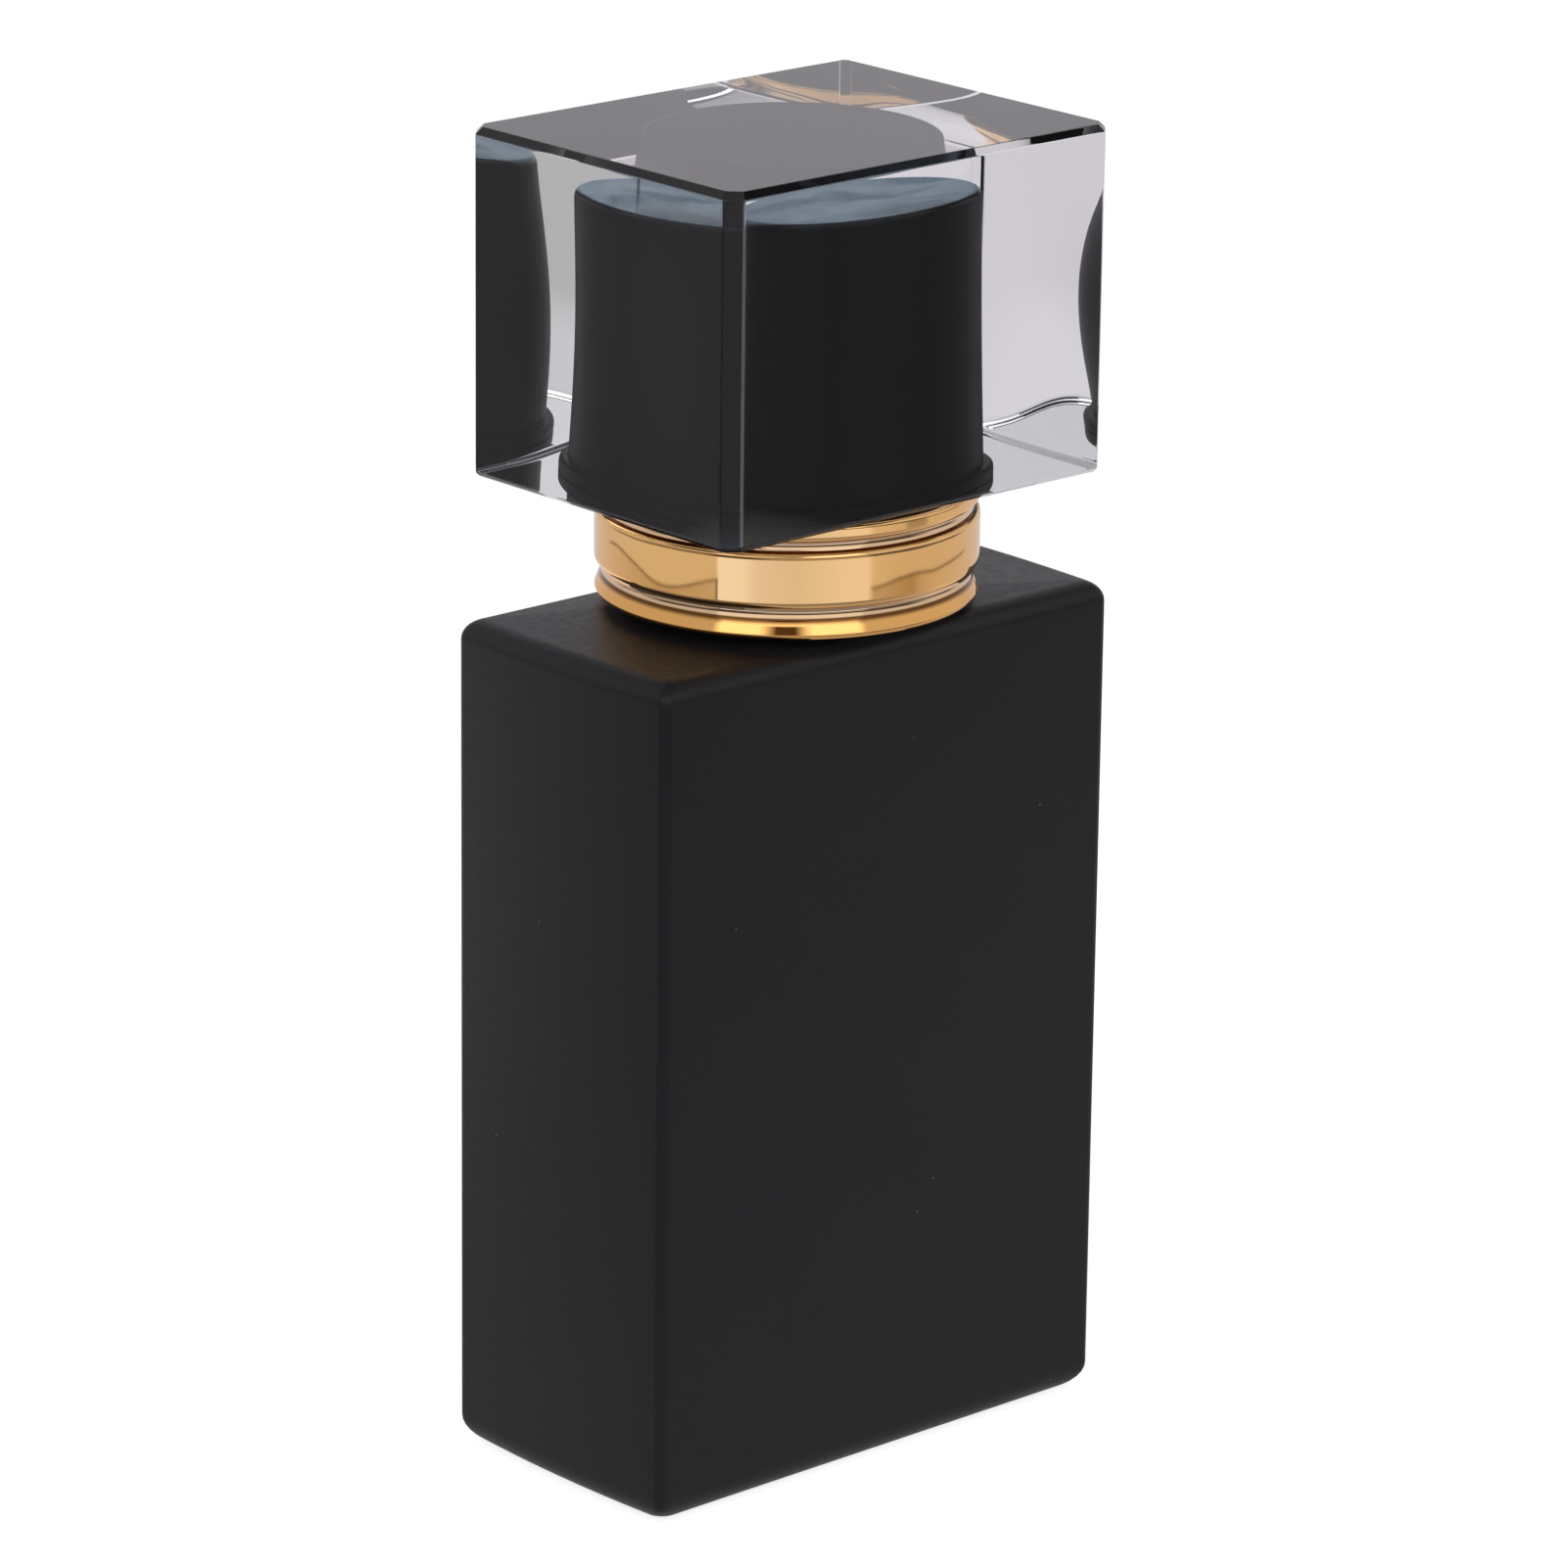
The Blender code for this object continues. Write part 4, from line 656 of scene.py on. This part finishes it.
# Each wall sinks by its depth times the squares of 1 - u squared and 1 - v squared, at u, v from its middle.
half_walls = np.stack([cap_x, cap_y], -1)[:, None]
on_wall = np.abs(cap_outline) > half_walls - 1e-6
along_wall = np.clip(np.abs(cap_outline) / (half_walls - bevel[:, None, None]), 0, 1)[..., ::-1]
up_wall = np.clip(2 * (cap_z - CAP_FOOT) / (CAP_TOP - CAP_FOOT) - 1, -1, 1)[:, None, None]
sunk = (SINK_X, SINK_Y) * (1 - along_wall**2) ** 2 * (1 - up_wall**2) ** 2
cap_outline = cap_outline - np.sign(cap_outline) * on_wall * sunk
flange_rim = np.argmax(sleeve_profile[:, 0] == SLEEVE_FLANGE - RIM_ROUND)
bore_rows = sleeve_profile[flange_rim:][::-1] - WETTED_OVERLAP
bore_rows[-1, 1] = CAP_FOOT
bore_grid = turned(bore_rows, cap_bearing)
cap_grid = np.concatenate([bore_grid, lifted(cap_outline, cap_z)])

# Clear styrene acrylic: water-clear and glossy, index 1.59, with a polishing haze so fine that it only softens the
# gloss. A second finish, a little milky, paints a fine highlight line along the upright edges of the wide faces.
acrylics = []
for name, clearness in ("polished_styrene_acrylic", 1.0), ("edge_highlight_styrene_acrylic", 0.88):
    acrylic = finish(name)
    place = add(acrylic, "ShaderNodeTexCoord").outputs["Object"]
    haze = add(acrylic, "ShaderNodeTexNoise", {"Vector": place, "Scale": 1000 / 2, "Detail": 4.0})
    haze_gloss = add(
        acrylic, "ShaderNodeMapRange", {"Value": haze.outputs["Fac"], "To Min": 0.0, "To Max": 0.012}
    )
    clear = add(
        acrylic, "ShaderNodeBsdfPrincipled",
        {
            "Base Color": linear("#fbfbfd"), "Roughness": haze_gloss.outputs["Result"], "IOR": 1.59,
            "Transmission Weight": clearness,
        },
    )
    add(acrylic, "ShaderNodeOutputMaterial", {"Surface": clear.outputs["BSDF"]})
    acrylics.append(acrylic)
block = shaped("clear_block", *skin(cap_grid), *acrylics, crease=50)
# Of the eight corners of the outline, these four lie on the wide faces. A corner's columns come before its side's.
wide_corners = (1, 2, 5, 6)
edge_columns = np.concatenate(
    [np.r_[[k in wide_corners] * (CORNER_STEPS + 1), [False] * len(side)] for k, side in enumerate(sides)]
)
upright_rows = (cap_z > CAP_FOOT + HIGHLIGHT_FOOT) & (cap_z < CAP_TOP - HIGHLIGHT_TOP)
edge_faces = edge_columns | np.roll(edge_columns, -1)
# Faces that take the milky finish of the painted highlight line.
highlight_faces = np.zeros((len(cap_grid) - 1, len(edge_columns)), bool)
highlight_faces[len(bore_grid) :] = (upright_rows[:-1] & upright_rows[1:])[:, None] & edge_faces
faces_finish = np.r_[highlight_faces.ravel(), np.zeros(2 * len(edge_columns), bool)]
block.data.polygons.foreach_set("material_index", faces_finish.astype(np.int32))
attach(block, "cap")
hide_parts("cap_block")

# ---- Studio and camera --------------------------------------------------------------------------------------
# A pale table inside a tent of soft white panels: the front one is the brightest, and the seams between them are
# dark. What looks straight into the tent sees white.
CAMERA_TURN, CAMERA_RISE = 42.02, 17.45  # degrees round from the wide face, and above the table
CAMERA_DISTANCE, AIM_HEIGHT, CAMERA_ROLL = 0.5577, 0.0495, 0.012  # m, m and radians
CAMERA_LENS, SENSOR = 174.67, 36.0
scene = bpy.context.scene
scene.view_settings.view_transform = "Standard"


def panels(owner, place, stops):
    """Colours by bearing round the object: 0 degrees looks to the camera's side, more is further to its right."""
    facing = add(owner, "ShaderNodeMapping", {"Vector": place, "Rotation": (0, 0, math.radians(90 + CAMERA_TURN))})
    around_z = add(owner, "ShaderNodeTexGradient", {"Vector": facing.outputs["Vector"]}, gradient_type="RADIAL")
    stops = [(0.5 + degrees / 360, colour) for degrees, colour in stops]
    return add(owner, "ShaderNodeValToRGB", {"Fac": around_z.outputs["Fac"]}, stops).outputs["Color"]


def between(owner, height, foot, top, share):
    """A share, as a number or a socket, that fades in through the pair of heights at its foot and out through the
    pair at its top. Heights in the tent are sines of the angle above the table."""
    for (start, end), (before, after) in ((foot, (0.0, 1.0)), (top, (1.0, 0.0))):
        fading = add(
            owner, "ShaderNodeMapRange",
            {"Value": height, "From Min": start, "From Max": end, "To Min": before, "To Max": after},
        )
        faded = add(owner, "ShaderNodeMath", {0: share, 1: fading.outputs["Result"]}, operation="MULTIPLY")
        share = faded.outputs[0]
    return share


world = bpy.data.worlds.new("white_tent")
scene.world = world
world.use_nodes = True
world.node_tree.nodes.clear()
place = add(world, "ShaderNodeTexCoord").outputs["Generated"]
level = add(world, "ShaderNodeSeparateXYZ", {0: place}).outputs["Z"]
seen = add(world, "ShaderNodeLightPath")
ROOF, LAMP = (0.62, 0.8), 0.8  # where the panels give way to the roof, and the strength of the lamp
under_roof = add(
    world, "ShaderNodeMapRange",
    {"Value": level, "From Min": ROOF[0], "From Max": ROOF[1], "To Min": 1.0, "To Max": 0.0},
)
tent = panels(
    world, place,
    [(-132, "#d7d4d9"), (-118, "#d3d1d5"), (-44, "#d3d1d5"), (-41, "#fcfcfc"), (46, "#fcfcfc"), (49, "#dddbde"),
     (118, "#dddbde"), (132, "#d7d4d9")],
)
# The lamp's soft box hangs over the front panel. The tent's frame has a dark bar on either side under the roof,
# which the bevels of the cap mirror, and the front panel has a dim opening for the lens.
soft_box = panels(world, place, [(-46, "#000000"), (-41, "#ffffff"), (46, "#ffffff"), (51, "#000000")])
bars = panels(
    world, place,
    [(-138, "#000000"), (-132, "#aaaaaa"), (-110, "#aaaaaa"), (-104, "#000000"), (98, "#000000"), (104, "#ffffff"),
     (124, "#ffffff"), (130, "#000000")],
)
opening = panels(world, place, [(-17, "#000000"), (-6, "#ffffff"), (6, "#ffffff"), (17, "#000000")])
# Under the front panel the tent's skirt ends in a dark gap at table height, which only mirrors show.
skirt = panels(world, place, [(-100, "#000000"), (-80, "#ffffff"), (80, "#ffffff"), (100, "#000000")])
gap = add(
    world, "ShaderNodeMapRange",
    {"Value": level, "From Min": 0.03, "From Max": 0.06, "To Min": 1.0, "To Max": 0.0},
)
gap_front = add(world, "ShaderNodeMath", {0: gap.outputs["Result"], 1: skirt}, operation="MULTIPLY")
gap_mirrored = add(
    world, "ShaderNodeMath", {0: gap_front.outputs[0], 1: seen.outputs["Is Transmission Ray"]},
    operation="SUBTRACT", use_clamp=True,
)
# Each layer is its share, its colour, and how it is laid over those before it. The roof lies under them all.
tent_tone = linear("#a9a8ac")
for share, colour, blend in [
    (under_roof.outputs["Result"], tent, "MIX"),
    (between(world, level, (0.25, 0.4), ROOF, LAMP), soft_box, "ADD"),
    (between(world, level, (0.56, 0.6), (0.78, 0.82), bars), linear("#3c3c40"), "MIX"),
    (between(world, level, (0.22, 0.3), (0.48, 0.6), opening), linear("#5a4a3c"), "MIX"),
    (gap_mirrored.outputs[0], linear("#4a3f36"), "MIX"),
]:
    layer = add(world, "ShaderNodeMix", {0: share, 6: tent_tone, 7: colour}, data_type="RGBA", blend_type=blend)
    tent_tone = layer.outputs[2]
tent_light = add(world, "ShaderNodeBackground", {"Color": tent_tone, "Strength": 1.0})
white = add(world, "ShaderNodeBackground", {"Color": (1, 1, 1, 1), "Strength": 1.0})
shown = add(
    world, "ShaderNodeMixShader",
    {0: seen.outputs["Is Camera Ray"], 1: tent_light.outputs[0], 2: white.outputs[0]},
)
add(world, "ShaderNodeOutputWorld", {"Surface": shown.outputs[0]})

# White card on the table: it keeps the object's shadow where it is near, and fades to the white of the tent.
TABLE, SHADOW_REACH, SHADOW_END = 700.0, 90.0, 260.0
CARD_GLOW = 0.8  # what the tent's lamp adds to the light that the panels give the card
card = finish("white_card")
place = add(card, "ShaderNodeTexCoord").outputs["Object"]
far = add(card, "ShaderNodeVectorMath", {0: place}, operation="LENGTH").outputs["Value"]
fade = add(
    card, "ShaderNodeMapRange",
    {"Value": far, "From Min": SHADOW_REACH / 1000, "From Max": SHADOW_END / 1000},
)
matt = add(card, "ShaderNodeBsdfDiffuse", {"Color": linear("#d0cfd2")})
glow = add(card, "ShaderNodeEmission", {"Color": (1, 1, 1, 1), "Strength": CARD_GLOW})
lit = add(card, "ShaderNodeAddShader", {0: matt.outputs[0], 1: glow.outputs[0]})
pure = add(card, "ShaderNodeEmission", {"Color": (1, 1, 1, 1), "Strength": 1.0})
to_camera = add(card, "ShaderNodeMixShader", {0: fade.outputs["Result"], 1: lit.outputs[0], 2: pure.outputs[0]})
# Mirrors see the table in rings: a pale middle, the card in the object's shade, the card in the panels' tones, the
# table's paler rim, and past 290 mm the darker room. The card's edge is a thin dark line about 251 mm out, a
# little curled. The rim ends sooner at the sides.
CURL, CURL_LENGTH, CARD_EDGE = 24.0, 260.0, 264.5  # the edge lies where distance and curl add up to this
LINE_CORE, LINE_HALF, LINE_DARK = 0.4, 0.9, 0.6  # half widths of the line where it is full and where it ends
SIDES_SOONER = 13.0
front = [(-39.6, "#fdffff"), (-25, "#fdffff"), (-17, "#eef7ff"), (6, "#e7f0ff"), (36, "#f7ffff"), (48, "#f8ffff")]
card_near = panels(
    card, place,
    [(-130, "#d9d5da"), (-98, "#cbc4be"), (-82, "#c2b8ac"), (-42.2, "#cbc7c1"), (-41.6, "#8d7f70"),
     (-40.6, "#8d7f70"), *front, (52, "#c9c2ba"), (78, "#b4a692"), (86, "#cac2b8"), (100, "#d6d0ca"),
     (135, "#d9d5da")],
)
card_inner = panels(
    card, place,
    [(-180, "#dcdade"), (-118, "#ffffff"), (-104, "#efedf0"), (-92, "#bcbabe"), (-78, "#9d9ba2"), (-40, "#919096"),
     (40, "#919096"), (70, "#a8a6ac"), (88, "#c2c0c5"), (104, "#e2e0e4"), (180, "#dcdade")],
)
card_rim = panels(
    card, place,
    [(-130, "#d9d5da"), (-100, "#dcdcdc"), (-41.5, "#dddddd"), *front, (52, "#e2e0de"), (70, "#d9d6cf"),
     (130, "#d9d5da")],
)
card_far = panels(
    card, place,
    [(-130, "#d9d5da"), (-115, "#969497"), (-49, "#969497"), (-40, "#544c44"), (-18, "#6e665e"), (-9, "#a4a2a5"),
     (20, "#b3b1b4"), (46, "#b3b1b4"), (52, "#6f6e71"), (115, "#6f6e71"), (130, "#d9d5da")],
)
# The soft box is bluer and brighter than the room, most of all on its left.
front_blue = panels(
    card, place,
    [(-41, "#000000"), (-39.6, "#0072d0"), (-25, "#0068c2"), (-17, "#000088"), (10, "#000000"), (36, "#000088"),
     (48, "#00007f"), (52, "#000000")],
)
near_sides = panels(
    card, place,
    [(-106, "#000000"), (-100, "#ffffff"), (-88, "#ffffff"), (-82, "#000000"), (70, "#000000"), (76, "#ffffff"),
     (88, "#ffffff"), (94, "#000000")],
)
edge_sides = panels(
    card, place,
    [(-132, "#000000"), (-125, "#ffffff"), (-41, "#ffffff"), (-40, "#000000"), (50, "#000000"), (51, "#ffffff"),
     (125, "#ffffff"), (132, "#000000")],
)
wave = add(
    card, "ShaderNodeTexNoise", {"Vector": place, "Scale": 1000 / CURL_LENGTH, "Detail": 1.0, "Roughness": 0.3}
)
curled = add(card, "ShaderNodeMath", {0: wave.outputs["Fac"], 1: CURL / 1000, 2: far}, operation="MULTIPLY_ADD")
sooner = add(card, "ShaderNodeMath", {0: near_sides, 1: SIDES_SOONER / 1000, 2: far}, operation="MULTIPLY_ADD")
off_edge = add(card, "ShaderNodeMath", {0: curled.outputs[0], 1: CARD_EDGE / 1000}, operation="SUBTRACT")
off_line = add(card, "ShaderNodeMath", {0: off_edge.outputs[0]}, operation="ABSOLUTE")
thin_line = add(
    card, "ShaderNodeMapRange",
    {
        "Value": off_line.outputs[0], "From Min": LINE_CORE / 1000, "From Max": LINE_HALF / 1000,
        "To Min": LINE_DARK, "To Max": 0.0,
    },
)
edge_line = add(card, "ShaderNodeMath", {0: thin_line.outputs["Result"], 1: edge_sides}, operation="MULTIPLY")
# Where each ring begins and has taken over, in mm.
past = {}
for name, distance, start, end in [
    ("middle", far, 50, 160), ("shade", far, 215, 230), ("through", far, 250, 350),
    ("card", curled.outputs[0], CARD_EDGE, CARD_EDGE + 0.8), ("rim", sooner.outputs[0], 276, 293),
]:
    ring_edge = add(
        card, "ShaderNodeMapRange", {"Value": distance, "From Min": start / 1000, "From Max": end / 1000}
    )
    past[name] = ring_edge.outputs["Result"]
card_tone = linear("#c0bfc3")
for share, colour, blend in [
    (past["middle"], card_inner, "MIX"), (past["shade"], card_near, "MIX"), (past["card"], card_rim, "MIX"),
    (past["shade"], front_blue, "ADD"), (edge_line.outputs[0], linear("#4d3a28"), "MIX"),
    (past["rim"], card_far, "MIX"),
]:
    layer = add(card, "ShaderNodeMix", {0: share, 6: card_tone, 7: colour}, data_type="RGBA", blend_type=blend)
    card_tone = layer.outputs[2]
# What is refracted through the clear block sees the table paler.
card_low = panels(
    card, place, [(-140, "#dcd8dd"), (48, "#fcfcfc"), (52, "#d4d3d5"), (115, "#d4d3d5"), (130, "#dcd8dd")]
)
card_high = panels(
    card, place, [(-140, "#dcd8dd"), (48, "#d9d5da"), (52, "#bcbab9"), (115, "#bcbab9"), (130, "#dcd8dd")]
)
card_through = add(card, "ShaderNodeMix", {0: past["through"], 6: card_low, 7: card_high}, data_type="RGBA")
seen = add(card, "ShaderNodeLightPath")
card_colour = add(
    card, "ShaderNodeMix",
    {0: seen.outputs["Is Transmission Ray"], 6: card_tone, 7: card_through.outputs[2]}, data_type="RGBA",
)
mirrored = add(card, "ShaderNodeEmission", {"Color": card_colour.outputs[2], "Strength": 1.0})
sharp = add(
    card, "ShaderNodeMath",
    {0: seen.outputs["Is Glossy Ray"], 1: seen.outputs["Is Transmission Ray"]}, operation="MAXIMUM",
)
reflected = add(
    card, "ShaderNodeMixShader", {0: sharp.outputs[0], 1: matt.outputs[0], 2: mirrored.outputs[0]}
)
shown = add(
    card, "ShaderNodeMixShader",
    {0: seen.outputs["Is Camera Ray"], 1: reflected.outputs[0], 2: to_camera.outputs[0]},
)
add(card, "ShaderNodeOutputMaterial", {"Surface": shown.outputs[0]})
table_turn = np.linspace(0, 2 * math.pi, 96, endpoint=False)
table_points = TABLE * np.stack([np.cos(table_turn), np.sin(table_turn), 0 * table_turn], -1)
floor = shaped("table_card", table_points, [list(range(len(table_turn)))], card)

camera_turn, camera_rise = math.radians(CAMERA_TURN), math.radians(CAMERA_RISE)
flat = math.cos(camera_rise)
back = Vector((-math.sin(camera_turn) * flat, -math.cos(camera_turn) * flat, math.sin(camera_rise)))
camera_data = bpy.data.cameras.new("photo_view")
camera_data.lens, camera_data.sensor_width = CAMERA_LENS, SENSOR
camera = bpy.data.objects.new("photo_view", camera_data)
scene.collection.objects.link(camera)
camera.location = back * CAMERA_DISTANCE + Vector((0, 0, AIM_HEIGHT))
camera.rotation_mode = "QUATERNION"
camera.rotation_quaternion = (-back).to_track_quat("-Z", "Y") @ Quaternion((0, 0, 1), CAMERA_ROLL)
scene.camera = camera
